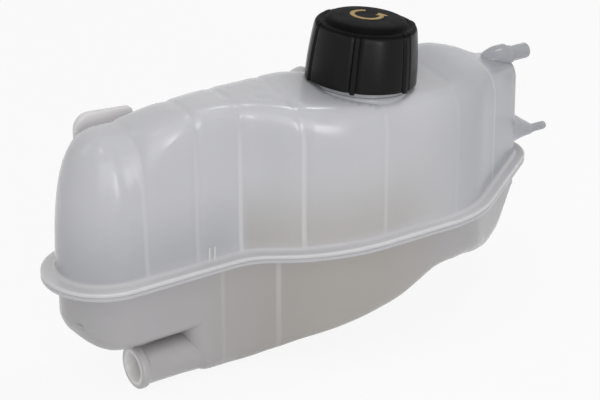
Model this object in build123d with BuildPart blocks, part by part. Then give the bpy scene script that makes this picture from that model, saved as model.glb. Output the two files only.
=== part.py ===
from build123d import *
import os
from math import atan2, cos, degrees, radians, sin, sqrt, tan
from typing import NamedTuple

# Coolant expansion tank: two moulded halves welded at a flange, and a screw cap with its pressure valve.
# Frame: +X along the tank towards the vent nipple, +Y to the back, +Z up out of the weld flange.
# The origin lies on the underside of the weld flange, on its front run.

# Weld flange, seen from above
FLANGE_THICKNESS = 2.2        # each half's share
FLANGE_WIDTH = 6.0            # from the wall to the outer edge
LEFT_CENTRE_X = -88.2         # centre of the flange's round left end
LEFT_END_RADIUS = 31.7        # outer edge of the flange round the left end
BACK_EDGE_Y = 73.6
FRONT_STEP = 24.0             # how far the front steps forward under the filler neck
FRONT_STEP_X = -33.0          # where that step starts
FRONT_STEP_ANGLE = 34.0
FRONT_STEP_RADIUS = 36.0      # first, hollow bend of the step
CORNER_RADIUS = 60.0          # front right corner
BEVEL_ANGLE = 35.2            # slanting right end
BEVEL_START_X = 104.7         # where the slanting end would meet the straight front
RIGHT_END_RADIUS = 23.5
FRONT_EDGE_LEFT = BACK_EDGE_Y - 2 * LEFT_END_RADIUS
FRONT_EDGE_RIGHT = FRONT_EDGE_LEFT - FRONT_STEP
LEFT_CENTRE_Y = BACK_EDGE_Y - LEFT_END_RADIUS
STEP_SINE = sin(radians(FRONT_STEP_ANGLE))
STEP_COSINE = cos(radians(FRONT_STEP_ANGLE))
BEVEL_SINE = sin(radians(BEVEL_ANGLE))
BEVEL_COSINE = cos(radians(BEVEL_ANGLE))
STEP_OUT_RADIUS = FRONT_STEP / (1 - STEP_COSINE) - FRONT_STEP_RADIUS
STEP_END_X = FRONT_STEP_X + (FRONT_STEP_RADIUS + STEP_OUT_RADIUS) * STEP_SINE
CORNER_X = BEVEL_START_X - CORNER_RADIUS * (1 - BEVEL_COSINE) / BEVEL_SINE
RIGHT_CENTRE_Y = BACK_EDGE_Y - RIGHT_END_RADIUS
RIGHT_CENTRE_X = BEVEL_START_X + (
    (RIGHT_CENTRE_Y - FRONT_EDGE_RIGHT) * BEVEL_COSINE - RIGHT_END_RADIUS
) / BEVEL_SINE
BEVEL_RUN = (RIGHT_CENTRE_X - CORNER_X) * BEVEL_COSINE + (
    RIGHT_CENTRE_Y - FRONT_EDGE_RIGHT - CORNER_RADIUS
) * BEVEL_SINE

# Walls and inner ribs
UPPER_LEFT_X = -86.8          # centre of the upper half's round left end
LOWER_LEFT_X = -85.6          # centre of the lower half's
WALL = 2.8
RIB_THICKNESS = 2.0
RIB_DEPTH = 5.0
RIB_XS = (-84.0, -51.6, -25.0, 3.5, 92.0)

# Upper half: one cross-section at each station along the tank
END_FACE_CUT = 8.8            # how far its flat right end stands back from the flange's edge
END_FACE_X = RIGHT_CENTRE_X + RIGHT_END_RADIUS - END_FACE_CUT


class Station(NamedTuple):
    """A cross-section of the upper half, square to the tank's length."""

    x: float
    roof_front: float         # height of the roof over the front wall
    roof_back: float          # height of the roof over the back wall
    front_share: float        # front shoulder's share of the roof's width
    front_rise: float         # front shoulder's height on the wall
    back_share: float
    back_rise: float
    front_lean: float         # inward lean of a wall, mm for each mm of height
    back_lean: float


STATIONS = (
    Station(UPPER_LEFT_X, 77.5, 77.5, 0.479, 60.0, 0.479, 60.0, 0.03, 0.03),
    Station(-80.0, 78.2, 78.0, 0.47, 50.0, 0.49, 52.0, 0.03, 0.04),
    Station(-62.0, 82.8, 82.3, 0.417, 26.0, 0.556, 38.0, 0.02, 0.08),
    Station(-40.0, 85.5, 85.0, 0.322, 16.0, 0.545, 30.0, 0.0, 0.13),
    Station(-15.0, 82.5, 86.3, 0.298, 16.0, 0.459, 28.0, 0.0, 0.14),
    Station(15.0, 75.5, 87.0, 0.236, 22.0, 0.336, 28.0, 0.0, 0.14),
    Station(47.0, 74.1, 79.2, 0.202, 20.0, 0.31, 28.0, 0.0, 0.14),
    Station(80.0, 72.3, 78.8, 0.216, 20.0, 0.309, 28.0, 0.0, 0.14),
    Station(108.0, 71.5, 83.3, 0.247, 20.0, 0.329, 28.0, 0.0, 0.13),
    Station(130.0, 67.0, 75.2, 0.267, 16.0, 0.37, 24.0, 0.01, 0.10),
    Station(150.0, 60.5, 64.2, 0.296, 14.0, 0.403, 20.0, 0.02, 0.06),
    Station(END_FACE_X, 56.0, 58.0, 0.28, 8.0, 0.28, 8.0, 0.02, 0.02),
)
LEAST_SHOULDER = 2.0          # smallest rounding left on an inset form

# Lower half, seen from the front
SHALLOW_FLOOR = -34.0         # left, over the hose
SUMP_FLOOR = -59.6
SUMP_WALL_X = -54.0
SUMP_ROUND = 12.0
RIGHT_FLOOR = -33.6
RIGHT_RISE_X = 146.0
RIGHT_RISE_ANGLE = 33.0       # climb to the flange at the right end
LEFT_RISE_X = -100.0
LEFT_RISE_ANGLE = 45.0        # climb under the round left end
FLOOR = (                     # its corners from left to right: x, height and rounding
    (LEFT_RISE_X, SHALLOW_FLOOR, 20.0),
    (SUMP_WALL_X, SHALLOW_FLOOR, 5.0),
    (SUMP_WALL_X, SUMP_FLOOR, SUMP_ROUND),
    (-20.0, SUMP_FLOOR, 40.0),
    (4.0, -49.6, 60.0),
    (60.0, -37.2, 60.0),
    (84.0, -24.5, 25.0),
    (102.0, -25.0, 25.0),
    (128.0, RIGHT_FLOOR, 25.0),
    (RIGHT_RISE_X, RIGHT_FLOOR, 25.0),
)
FLOOR_ROUND = 9.0             # bottom edges
LOWER_RIB_XS = (-8.0,)

# Hose spigot under the shallow floor
SPIGOT_Y = 27.1
SPIGOT_Z = -48.2
SPIGOT_RADIUS = 10.2
SPIGOT_BORE = 7.2
SPIGOT_LENGTH = 28.8
SPIGOT_BEAD_RADIUS = 11.5
SPIGOT_BEAD = 4.5             # length of the bead at its end

# Fittings on the right end
FITTING_Y = 47.8
NIPPLE_Z = 59.8
NIPPLE_RADIUS = 4.25
NIPPLE_BORE = 2.2
NIPPLE_TIP_X = 180.6
NIPPLE_COLLAR_RADIUS = 6.5
NIPPLE_COLLAR_X = 166.0
NIPPLE_STEP_RADIUS = 5.0      # root that carries the tube past the end face
NIPPLE_FREE_LENGTH = 11.0     # plain tube that the vent hose takes
NIPPLE_ROOT_X = 156.5
NIPPLE_BORE_X = 138.0         # where its bore opens into the tank
PEG_Z = 11.5
PEG_RADIUS = 2.3
PEG_TIP_X = 197.0
PEG_FOOT_X = 160.0
PEG_FOOT_Z = 19.6
PEG_FOOT_RADIUS = 14.5
PEG_CONE_X = 186.0
PEG_CONE_RADIUS = 3.4

# Mounting tongue on the back, at the left
TONGUE_Y = 57.6
TONGUE_THICKNESS = 4.0
TONGUE_LEFT_X = -92.5
TONGUE_RIGHT_X = -60.5
TONGUE_FOOT = 48.0
TONGUE_LEFT_TOP = 79.7
TONGUE_RIGHT_TOP = 77.2
TONGUE_ROUND = 8.0
TONGUE_CORNER = 2.0

# Filler neck, which leans towards the vent nipple. Heights are along its axis, from its foot on the roof.
NECK_FOOT = (50.5, 22.4, 74.5)
NECK_LEAN = 6.0
NECK_RADIUS = 19.8
NECK_BORE = 16.8
NECK_HEIGHT = 24.0
COLLAR_RADIUS = 25.0
COLLAR_HEIGHT = 5.0
COLLAR_ROOT_DEPTH = 12.0
COLLAR_ROOT_RADIUS = 19.0

# Cap
CAP_LIFT_GAP = 0.6            # between the collar and the cap's skirt
CAP_SKIRT_RADIUS = 29.0
CAP_RIM_RADIUS = 26.6
CAP_SIDE = 29.4
CAP_CROWN = 1.8               # raised disc on top
CAP_CROWN_RADIUS = 20.0
CAP_CROWN_ROUND = 1.0
CAP_BORE = 21.8
CAP_ROOF = 6.0                # from the inside to the rim
CAP_RIM_ROUND = 2.5
GRIPS = 6
GRIP_RADIUS = 42.0            # hollow of each grip
GRIP_DEPTH = 1.8
GRIP_TURN = 7.5
RING_SLOTS = 4                # slots that let the cap's inner ring snap on and breathe
RING_SLOT = 4.0

# Valve insert, carried under the cap and snapped into it
POT_FLANGE_RADIUS = 19.4
POT_FLANGE = 2.2
POT_CLEARANCE = 0.6           # in the neck
POT_WALL = 2.6
POT_FLOOR = 2.2
POT_DEPTH = 21.0              # below its flange
POT_RIM_RADIUS = 15.6         # upper rim, inside the cap's ring
RING_GAP = 0.05               # between the pot's flange and the cap's ring
SNAP_LIP = 1.2
SNAP_BEAD = 0.6
SNAP_HEIGHT = 1.2
SNAP_GAP = 0.3
O_RING_SECTION = 1.9
O_RING_GAP = 0.05             # in the neck
O_RING_PLAY = 0.15            # in its groove, to each side
O_RING_DROP = 8.0             # below the flange
SEAT_BORE = 5.0
SEAT_LIP = 1.2
SEAT_HEIGHT = 0.8
SEAL_RADIUS = 8.0
SEAL_BORE = 2.4
SEAL_THICKNESS = 1.4
PLATE_RADIUS = 9.4
PLATE_THICKNESS = 2.0
BOSS_RADIUS = 5.2
BOSS_HEIGHT = 1.2
STEM_RADIUS = 1.5
STEM_GAP = 0.3
RETAINER_THICKNESS = 1.8
RETAINER_DROP = 2.4           # below the flange's top
RETAINER_LIP = 0.6
RETAINER_GAP = 0.1
RETAINER_BORE = 5.0
RETAINER_VENTS = 6
RETAINER_VENT_RADIUS = 1.3
PRESSURE_WIRE = 1.2
PRESSURE_TURNS = 3.5
POPPET_RADIUS = 4.2
POPPET_THICKNESS = 1.4
VACUUM_WIRE = 0.5
VACUUM_TURNS = 3.0
VACUUM_SPRING_HEIGHT = 4.0
VACUUM_COIL_RADIUS = 2.4
CLIP_RADIUS = 3.2
CLIP_THICKNESS = 1.0
CLIP_GROOVE = 0.3
STEM_TIP = 0.8                # above the clip

WELD_Z = FLANGE_THICKNESS
FLANGE_TOP = 2 * FLANGE_THICKNESS
NECK_AXIS_DIR = (sin(radians(NECK_LEAN)), 0, cos(radians(NECK_LEAN)))
NECK_AXIS = Axis(NECK_FOOT, NECK_AXIS_DIR)
NECK_PLANE = Plane(origin=NECK_FOOT, x_dir=(NECK_AXIS_DIR[2], 0, -NECK_AXIS_DIR[0]), z_dir=NECK_AXIS_DIR)
NECK_SECTION = Plane(origin=NECK_FOOT, x_dir=NECK_PLANE.x_dir, z_dir=-NECK_PLANE.y_dir)
CAP_FOOT = COLLAR_HEIGHT + CAP_LIFT_GAP
CAP_TOP = CAP_FOOT + CAP_SIDE
CAP_CEILING = CAP_TOP - CAP_ROOF
CAP_TAPER = degrees(atan2(CAP_SKIRT_RADIUS - CAP_RIM_RADIUS, CAP_SIDE))
POT_TOP = NECK_HEIGHT + POT_FLANGE
POT_RADIUS = NECK_BORE - POT_CLEARANCE
POT_BORE = POT_RADIUS - POT_WALL
POT_FOOT = NECK_HEIGHT - POT_DEPTH
POT_FLOOR_TOP = POT_FOOT + POT_FLOOR
RING_FOOT = POT_TOP + RING_GAP
RING_BORE = POT_RIM_RADIUS + SNAP_GAP
SNAP_RADIUS = POT_RIM_RADIUS + SNAP_BEAD
SNAP_FOOT = RING_FOOT + SNAP_LIP + SNAP_GAP
SNAP_TOP = SNAP_FOOT + SNAP_HEIGHT
O_RING_Z = NECK_HEIGHT - O_RING_DROP
O_RING_FLOOR = NECK_BORE - O_RING_GAP - O_RING_SECTION
O_RING_REACH = O_RING_SECTION / 2 + O_RING_PLAY
RETAINER_TOP = POT_TOP - RETAINER_DROP
RETAINER_FOOT = RETAINER_TOP - RETAINER_THICKNESS
RETAINER_GROOVE = POT_BORE + RETAINER_LIP
RETAINER_RADIUS = RETAINER_GROOVE - RETAINER_GAP
SEAT_RADIUS = SEAT_BORE + SEAT_LIP
SEAL_FOOT = POT_FLOOR_TOP + SEAT_HEIGHT
PLATE_FOOT = SEAL_FOOT + SEAL_THICKNESS
PLATE_TOP = PLATE_FOOT + PLATE_THICKNESS
BOSS_TOP = PLATE_TOP + BOSS_HEIGHT
POPPET_FOOT = SEAL_FOOT - POPPET_THICKNESS
CLIP_FOOT = BOSS_TOP + VACUUM_SPRING_HEIGHT
CLIP_TOP = CLIP_FOOT + CLIP_THICKNESS
CLIP_BORE = STEM_RADIUS - CLIP_GROOVE


def plan_outline(inset, left_x):
    """Draws the tank from above in the open BuildLine, set in from the flange's outer edge.
    left_x is the centre of its round left end."""
    front = Line((left_x, FRONT_EDGE_LEFT + inset), (FRONT_STEP_X, FRONT_EDGE_LEFT + inset))
    step_in = JernArc(front @ 1, front % 1, FRONT_STEP_RADIUS + inset, -FRONT_STEP_ANGLE)
    step_out = JernArc(step_in @ 1, step_in % 1, STEP_OUT_RADIUS - inset, FRONT_STEP_ANGLE)
    straight = Line(step_out @ 1, (CORNER_X, FRONT_EDGE_RIGHT + inset))
    corner = JernArc(straight @ 1, straight % 1, CORNER_RADIUS - inset, BEVEL_ANGLE)
    bevel = Line(corner @ 1, corner @ 1 + (corner % 1) * BEVEL_RUN)
    right_end = JernArc(bevel @ 1, bevel % 1, RIGHT_END_RADIUS - inset, 180 - BEVEL_ANGLE)
    back = Line(right_end @ 1, (left_x, BACK_EDGE_Y - inset))
    JernArc(back @ 1, back % 1, LEFT_END_RADIUS - inset, 180)


def front_wall(x, inset):
    """Gives the front of that outline at x, right of the round left end."""
    step_in_end = FRONT_STEP_X + (FRONT_STEP_RADIUS + inset) * STEP_SINE
    bevel_start = CORNER_X + (CORNER_RADIUS - inset) * BEVEL_SINE
    bevel_end = RIGHT_CENTRE_X + (RIGHT_END_RADIUS - inset) * BEVEL_SINE
    if x < FRONT_STEP_X:
        return FRONT_EDGE_LEFT + inset
    if x < step_in_end:
        reach = sqrt((FRONT_STEP_RADIUS + inset) ** 2 - (x - FRONT_STEP_X) ** 2)
        return FRONT_EDGE_LEFT - FRONT_STEP_RADIUS + reach
    if x < STEP_END_X:
        reach = sqrt((STEP_OUT_RADIUS - inset) ** 2 - (x - STEP_END_X) ** 2)
        return FRONT_EDGE_RIGHT + STEP_OUT_RADIUS - reach
    if x < CORNER_X:
        return FRONT_EDGE_RIGHT + inset
    if x < bevel_start:
        reach = sqrt((CORNER_RADIUS - inset) ** 2 - (x - CORNER_X) ** 2)
        return FRONT_EDGE_RIGHT + CORNER_RADIUS - reach
    if x < bevel_end:
        return FRONT_EDGE_RIGHT + ((x - BEVEL_START_X) * BEVEL_SINE + inset) / BEVEL_COSINE
    return RIGHT_CENTRE_Y - sqrt((RIGHT_END_RADIUS - inset) ** 2 - (x - RIGHT_CENTRE_X) ** 2)


def back_wall(x, inset):
    """Gives the back of that outline at x."""
    if x < RIGHT_CENTRE_X:
        return BACK_EDGE_Y - inset
    return RIGHT_CENTRE_Y + sqrt((RIGHT_END_RADIUS - inset) ** 2 - (x - RIGHT_CENTRE_X) ** 2)


def arch(station, x, inset, foot):
    """Draws a station's cross-section in the open BuildLine, from foot upwards and set in from its face."""
    front = front_wall(x, FLANGE_WIDTH + inset)
    back = back_wall(x, FLANGE_WIDTH + inset)
    front_top = station.roof_front - inset
    back_top = station.roof_back - inset
    outer_front = front_wall(x, FLANGE_WIDTH) + station.front_lean * station.roof_front
    outer_back = back_wall(x, FLANGE_WIDTH) - station.back_lean * station.roof_back
    width = sqrt((outer_back - outer_front) ** 2 + (station.roof_back - station.roof_front) ** 2)
    front_reach = max(station.front_share * width - inset, LEAST_SHOULDER)
    back_reach = max(station.back_share * width - inset, LEAST_SHOULDER)
    front_rise = max(station.front_rise - inset, LEAST_SHOULDER)
    back_rise = max(station.back_rise - inset, LEAST_SHOULDER)
    front_corner = Vector(front + station.front_lean * front_top, front_top)
    back_corner = Vector(back - station.back_lean * back_top, back_top)
    roof = (back_corner - front_corner).normalized()
    front_foot = (front + station.front_lean * foot, foot)
    back_foot = (back - station.back_lean * foot, foot)
    front_side = Vector(front + station.front_lean * (front_top - front_rise), front_top - front_rise)
    back_side = Vector(back - station.back_lean * (back_top - back_rise), back_top - back_rise)
    front_edge = front_corner + roof * front_reach
    back_edge = back_corner - roof * back_reach
    Line(front_foot, front_side)
    Bezier(front_side, front_corner, front_edge)
    Line(front_edge, back_edge)
    Bezier(back_edge, back_corner, back_side)
    Line(back_side, back_foot)
    Line(back_foot, front_foot)


def upper_form(inset, foot):
    """Makes the upper half's full form, the lofted length and the round left end, set in from its face."""
    first = STATIONS[0]
    with BuildPart() as form:
        for station in STATIONS:
            x = min(station.x, END_FACE_X - inset)
            with BuildSketch(Plane(origin=(x, 0, 0), x_dir=(0, 1, 0), z_dir=(1, 0, 0))):
                with BuildLine():
                    arch(station, x, inset, foot)
                make_face()
        loft()
        with BuildSketch(Plane(origin=(first.x, 0, 0), x_dir=(0, 1, 0), z_dir=(1, 0, 0))):
            with BuildLine():
                arch(first, first.x, inset, foot)
            make_face()
            split(bisect_by=Plane(origin=(LEFT_CENTRE_Y, 0, 0), z_dir=(-1, 0, 0)))
        revolve(axis=Axis((first.x, LEFT_CENTRE_Y, 0), (0, 0, 1)), revolution_arc=-180)
    return form.part


def lower_form(inset, top):
    """Makes the lower half's form up to top, the outline over the floor's profile, set in from its face."""
    left = LEFT_CENTRE_X - 2 * LEFT_END_RADIUS
    right = RIGHT_CENTRE_X + 2 * RIGHT_END_RADIUS
    left_top = SHALLOW_FLOOR + (LEFT_RISE_X - left) * tan(radians(LEFT_RISE_ANGLE))
    right_top = RIGHT_FLOOR + (right - RIGHT_RISE_X) * tan(radians(RIGHT_RISE_ANGLE))
    headroom = max(left_top, right_top) + FLANGE_TOP
    corners = [(x, z) for x, z, _ in FLOOR]
    rounds = [corner_round for _, _, corner_round in FLOOR]
    with BuildPart() as form:
        with BuildSketch(Plane.XY.offset(top)):
            with BuildLine():
                plan_outline(FLANGE_WIDTH + inset, LOWER_LEFT_X)
            make_face()
        extrude(amount=SUMP_FLOOR - top)
        with BuildSketch(Plane.XZ):
            with BuildLine():
                FilletPolyline(
                    (left, headroom),
                    (left, left_top),
                    *corners,
                    (right, right_top),
                    (right, headroom),
                    radius=(0, 0, *rounds, 0, 0),
                    close=True,
                )
            make_face()
            if inset:
                offset(amount=-inset, mode=Mode.REPLACE)
        extrude(amount=2 * BACK_EDGE_Y, both=True, mode=Mode.INTERSECT)
        upright = form.edges().filter_by(Axis.Z) + form.edges().filter_by(Axis.Y)
        brim = form.edges().filter_by_position(Axis.Z, top, top)
        fillet(form.edges() - upright - brim, radius=max(FLOOR_ROUND - inset, LEAST_SHOULDER))
    return form.part


def ribs(cavity, clear, xs, low, high):
    """Makes ribs standing in from the wall of a cavity, at each of xs and between two heights."""
    with BuildPart() as frames:
        with Locations(*[(x, LEFT_CENTRE_Y, low) for x in xs]):
            Box(RIB_THICKNESS, 2 * BACK_EDGE_Y, high - low, align=(Align.CENTER, Align.CENTER, Align.MIN))
        add(cavity, mode=Mode.INTERSECT)
        add(clear, mode=Mode.SUBTRACT)
    return frames.part


def coil(radius, wire, turns, foot, height):
    """Makes a spring of square wire round the neck's axis."""
    rise = height - wire
    start = NECK_PLANE.offset(foot + wire / 2).origin
    with BuildPart() as spring:
        with BuildLine():
            path = Helix(rise / turns, rise, radius, center=start, direction=NECK_AXIS_DIR)
        with BuildSketch(Plane(origin=path @ 0, x_dir=path @ 0 - start, z_dir=path % 0)):
            Rectangle(wire, wire)
        sweep(is_frenet=True)
    return spring.part


# Upper half
upper_cavity = upper_form(WALL, 0)
upper_ribs = ribs(upper_cavity, upper_form(WALL + RIB_DEPTH, 0), RIB_XS, FLANGE_TOP, 2 * BACK_EDGE_Y)
fitting_plane = Plane(origin=(0, FITTING_Y, 0), x_dir=(0, 1, 0), z_dir=(1, 0, 0))
with BuildPart() as upper_half:
    with BuildSketch(Plane.XY.offset(WELD_Z)):
        with BuildLine():
            plan_outline(0, LEFT_CENTRE_X)
        make_face()
    extrude(amount=FLANGE_THICKNESS)
    add(upper_form(0, WELD_Z + FLANGE_THICKNESS / 2))
    with BuildSketch(NECK_SECTION):
        with BuildLine():
            Polyline(
                (0, -COLLAR_ROOT_DEPTH),
                (COLLAR_ROOT_RADIUS, -COLLAR_ROOT_DEPTH),
                (COLLAR_RADIUS, 0),
                (COLLAR_RADIUS, COLLAR_HEIGHT),
                (NECK_RADIUS, COLLAR_HEIGHT),
                (NECK_RADIUS, NECK_HEIGHT),
                (0, NECK_HEIGHT),
                close=True,
            )
        make_face()
    revolve(axis=NECK_AXIS)
    with BuildSketch(fitting_plane.offset(NIPPLE_ROOT_X)):
        with Locations((0, NIPPLE_Z)):
            Circle(NIPPLE_COLLAR_RADIUS)
    extrude(amount=NIPPLE_COLLAR_X - NIPPLE_ROOT_X)
    with BuildSketch(fitting_plane.offset(NIPPLE_ROOT_X)):
        with Locations((0, NIPPLE_Z)):
            Circle(NIPPLE_STEP_RADIUS)
    extrude(amount=NIPPLE_TIP_X - NIPPLE_FREE_LENGTH - NIPPLE_ROOT_X)
    with BuildSketch(fitting_plane.offset(NIPPLE_ROOT_X)):
        with Locations((0, NIPPLE_Z)):
            Circle(NIPPLE_RADIUS)
    extrude(amount=NIPPLE_TIP_X - NIPPLE_ROOT_X)
    with BuildSketch(fitting_plane.offset(PEG_FOOT_X)):
        with Locations((0, PEG_FOOT_Z)):
            Circle(PEG_FOOT_RADIUS)
    with BuildSketch(fitting_plane.offset(PEG_CONE_X)):
        with Locations((0, PEG_Z)):
            Circle(PEG_CONE_RADIUS)
    loft()
    with BuildSketch(fitting_plane.offset(PEG_CONE_X)):
        with Locations((0, PEG_Z)):
            Circle(PEG_RADIUS)
    extrude(amount=PEG_TIP_X - PEG_CONE_X)
    with BuildSketch(Plane.XZ.offset(-TONGUE_Y - TONGUE_THICKNESS)):
        with BuildLine():
            FilletPolyline(
                (TONGUE_LEFT_X, TONGUE_FOOT),
                (TONGUE_RIGHT_X, TONGUE_FOOT),
                (TONGUE_RIGHT_X, TONGUE_RIGHT_TOP),
                (TONGUE_LEFT_X, TONGUE_LEFT_TOP),
                radius=(TONGUE_ROUND, 0, TONGUE_CORNER, TONGUE_ROUND),
                close=True,
            )
        make_face()
    extrude(amount=TONGUE_THICKNESS)
    add(upper_cavity, mode=Mode.SUBTRACT)
    with BuildSketch(NECK_PLANE.offset(NECK_HEIGHT)):
        Circle(NECK_BORE)
    extrude(amount=-2 * NECK_HEIGHT, mode=Mode.SUBTRACT)
    with BuildSketch(fitting_plane.offset(NIPPLE_BORE_X)):
        with Locations((0, NIPPLE_Z)):
            Circle(NIPPLE_BORE)
    extrude(amount=NIPPLE_TIP_X - NIPPLE_BORE_X, mode=Mode.SUBTRACT)
    add(upper_ribs)

# Lower half
lower_cavity = lower_form(WALL, FLANGE_TOP)
lower_ribs = ribs(lower_cavity, lower_form(WALL + RIB_DEPTH, FLANGE_TOP), LOWER_RIB_XS, SUMP_FLOOR, 0)
spigot_root = (SUMP_WALL_X + SUMP_ROUND, SPIGOT_Y, SPIGOT_Z)
spigot_plane = Plane(origin=spigot_root, x_dir=(0, 1, 0), z_dir=(-1, 0, 0))
with BuildPart() as lower_half:
    with BuildSketch():
        with BuildLine():
            plan_outline(0, LEFT_CENTRE_X)
        make_face()
    extrude(amount=FLANGE_THICKNESS)
    add(lower_form(0, WELD_Z))
    with BuildSketch(spigot_plane):
        Circle(SPIGOT_RADIUS)
    extrude(amount=SUMP_ROUND + SPIGOT_LENGTH)
    with BuildSketch(spigot_plane.offset(SUMP_ROUND + SPIGOT_LENGTH)):
        Circle(SPIGOT_BEAD_RADIUS)
    extrude(amount=-SPIGOT_BEAD)
    add(lower_cavity, mode=Mode.SUBTRACT)
    with BuildSketch(spigot_plane):
        Circle(SPIGOT_BORE)
    extrude(amount=SUMP_ROUND + SPIGOT_LENGTH, mode=Mode.SUBTRACT)
    add(lower_ribs)

# Cap: a fluted knob whose inner ring turns on the pot
with BuildPart() as cap_knob:
    with BuildSketch(NECK_SECTION):
        with BuildLine():
            FilletPolyline(
                (0, CAP_TOP + CAP_CROWN),
                (CAP_CROWN_RADIUS, CAP_TOP + CAP_CROWN),
                (CAP_CROWN_RADIUS, CAP_TOP),
                (CAP_RIM_RADIUS, CAP_TOP),
                (CAP_SKIRT_RADIUS, CAP_FOOT),
                (CAP_BORE, CAP_FOOT),
                (CAP_BORE, CAP_CEILING),
                (POT_FLANGE_RADIUS, CAP_CEILING),
                (POT_FLANGE_RADIUS, RING_FOOT),
                (RING_BORE, RING_FOOT),
                (RING_BORE, RING_FOOT + SNAP_LIP),
                (SNAP_RADIUS + SNAP_GAP, RING_FOOT + SNAP_LIP),
                (SNAP_RADIUS + SNAP_GAP, CAP_CEILING),
                (0, CAP_CEILING),
                radius=(0, CAP_CROWN_ROUND, 0, CAP_RIM_ROUND, 0, 0, 0, 0, 0, 0, 0, 0, 0, 0),
                close=True,
            )
        make_face()
    revolve(axis=NECK_AXIS)
    for grip in range(GRIPS):
        turn = Location((0, 0, CAP_FOOT), (0, 0, GRIP_TURN + grip * 360 / GRIPS))
        lean = Location((CAP_SKIRT_RADIUS - GRIP_DEPTH + GRIP_RADIUS, 0, 0), (0, -CAP_TAPER, 0))
        with BuildSketch(Plane(NECK_PLANE.location * turn * lean)):
            Circle(GRIP_RADIUS)
        extrude(amount=2 * CAP_SIDE, both=True, mode=Mode.SUBTRACT)
    with BuildSketch(NECK_PLANE.offset(RING_FOOT)):
        with PolarLocations((RING_BORE + POT_FLANGE_RADIUS) / 2, RING_SLOTS):
            Rectangle(POT_FLANGE_RADIUS - RING_BORE + RING_SLOT, RING_SLOT)
    extrude(amount=CAP_CEILING - RING_FOOT, mode=Mode.SUBTRACT)

# Pot that hangs from the cap into the neck and holds both valves
with BuildPart() as valve_pot:
    with BuildSketch(NECK_SECTION):
        with BuildLine():
            Polyline(
                (SEAT_BORE, POT_FOOT),
                (POT_RADIUS, POT_FOOT),
                (POT_RADIUS, O_RING_Z - O_RING_REACH),
                (O_RING_FLOOR, O_RING_Z - O_RING_REACH),
                (O_RING_FLOOR, O_RING_Z + O_RING_REACH),
                (POT_RADIUS, O_RING_Z + O_RING_REACH),
                (POT_RADIUS, NECK_HEIGHT),
                (POT_FLANGE_RADIUS, NECK_HEIGHT),
                (POT_FLANGE_RADIUS, POT_TOP),
                (POT_RIM_RADIUS, POT_TOP),
                (POT_RIM_RADIUS, SNAP_FOOT),
                (SNAP_RADIUS, SNAP_FOOT),
                (SNAP_RADIUS, SNAP_TOP),
                (POT_BORE, SNAP_TOP),
                (POT_BORE, RETAINER_TOP),
                (RETAINER_GROOVE, RETAINER_TOP),
                (RETAINER_GROOVE, RETAINER_FOOT - RETAINER_GAP),
                (POT_BORE, RETAINER_FOOT - RETAINER_GAP),
                (POT_BORE, POT_FLOOR_TOP),
                (SEAT_RADIUS, POT_FLOOR_TOP),
                (SEAT_RADIUS, SEAL_FOOT),
                (SEAT_BORE, SEAL_FOOT),
                close=True,
            )
        make_face()
    revolve(axis=NECK_AXIS)

# Sealing ring in the pot's groove
with BuildPart() as pot_o_ring:
    with BuildSketch(NECK_SECTION):
        with Locations((O_RING_FLOOR + O_RING_SECTION / 2, O_RING_Z)):
            Circle(O_RING_SECTION / 2)
    revolve(axis=NECK_AXIS)

# Pressure valve: a sealing washer under a sprung plate, held down from a retainer
with BuildPart() as valve_seal:
    with BuildSketch(NECK_PLANE.offset(SEAL_FOOT)):
        Circle(SEAL_RADIUS)
        Circle(SEAL_BORE, mode=Mode.SUBTRACT)
    extrude(amount=SEAL_THICKNESS)

with BuildPart() as pressure_valve_plate:
    with BuildSketch(NECK_SECTION):
        with BuildLine():
            Polyline(
                (STEM_RADIUS + STEM_GAP, PLATE_FOOT),
                (PLATE_RADIUS, PLATE_FOOT),
                (PLATE_RADIUS, PLATE_TOP),
                (BOSS_RADIUS, PLATE_TOP),
                (BOSS_RADIUS, BOSS_TOP),
                (STEM_RADIUS + STEM_GAP, BOSS_TOP),
                close=True,
            )
        make_face()
    revolve(axis=NECK_AXIS)

with BuildPart() as pressure_spring:
    spring_height = RETAINER_FOOT - PLATE_TOP
    add(coil(BOSS_RADIUS + PRESSURE_WIRE, PRESSURE_WIRE, PRESSURE_TURNS, PLATE_TOP, spring_height))

with BuildPart() as spring_retainer:
    with BuildSketch(NECK_PLANE.offset(RETAINER_FOOT)):
        Circle(RETAINER_RADIUS)
        Circle(RETAINER_BORE, mode=Mode.SUBTRACT)
        with PolarLocations((RETAINER_BORE + RETAINER_RADIUS) / 2, RETAINER_VENTS):
            Circle(RETAINER_VENT_RADIUS, mode=Mode.SUBTRACT)
    extrude(amount=RETAINER_THICKNESS)

# Vacuum valve: a poppet drawn up against the washer by its own light spring
with BuildPart() as vacuum_poppet:
    with BuildSketch(NECK_SECTION):
        with BuildLine():
            Polyline(
                (0, POPPET_FOOT),
                (POPPET_RADIUS, POPPET_FOOT),
                (POPPET_RADIUS, SEAL_FOOT),
                (STEM_RADIUS, SEAL_FOOT),
                (STEM_RADIUS, CLIP_FOOT),
                (CLIP_BORE, CLIP_FOOT),
                (CLIP_BORE, CLIP_TOP),
                (STEM_RADIUS, CLIP_TOP),
                (STEM_RADIUS, CLIP_TOP + STEM_TIP),
                (0, CLIP_TOP + STEM_TIP),
                close=True,
            )
        make_face()
    revolve(axis=NECK_AXIS)

with BuildPart() as vacuum_spring:
    add(coil(VACUUM_COIL_RADIUS, VACUUM_WIRE, VACUUM_TURNS, BOSS_TOP, VACUUM_SPRING_HEIGHT))

with BuildPart() as vacuum_clip:
    with BuildSketch(NECK_PLANE.offset(CLIP_FOOT)):
        Circle(CLIP_RADIUS)
        Circle(CLIP_BORE, mode=Mode.SUBTRACT)
    extrude(amount=CLIP_THICKNESS)

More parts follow.
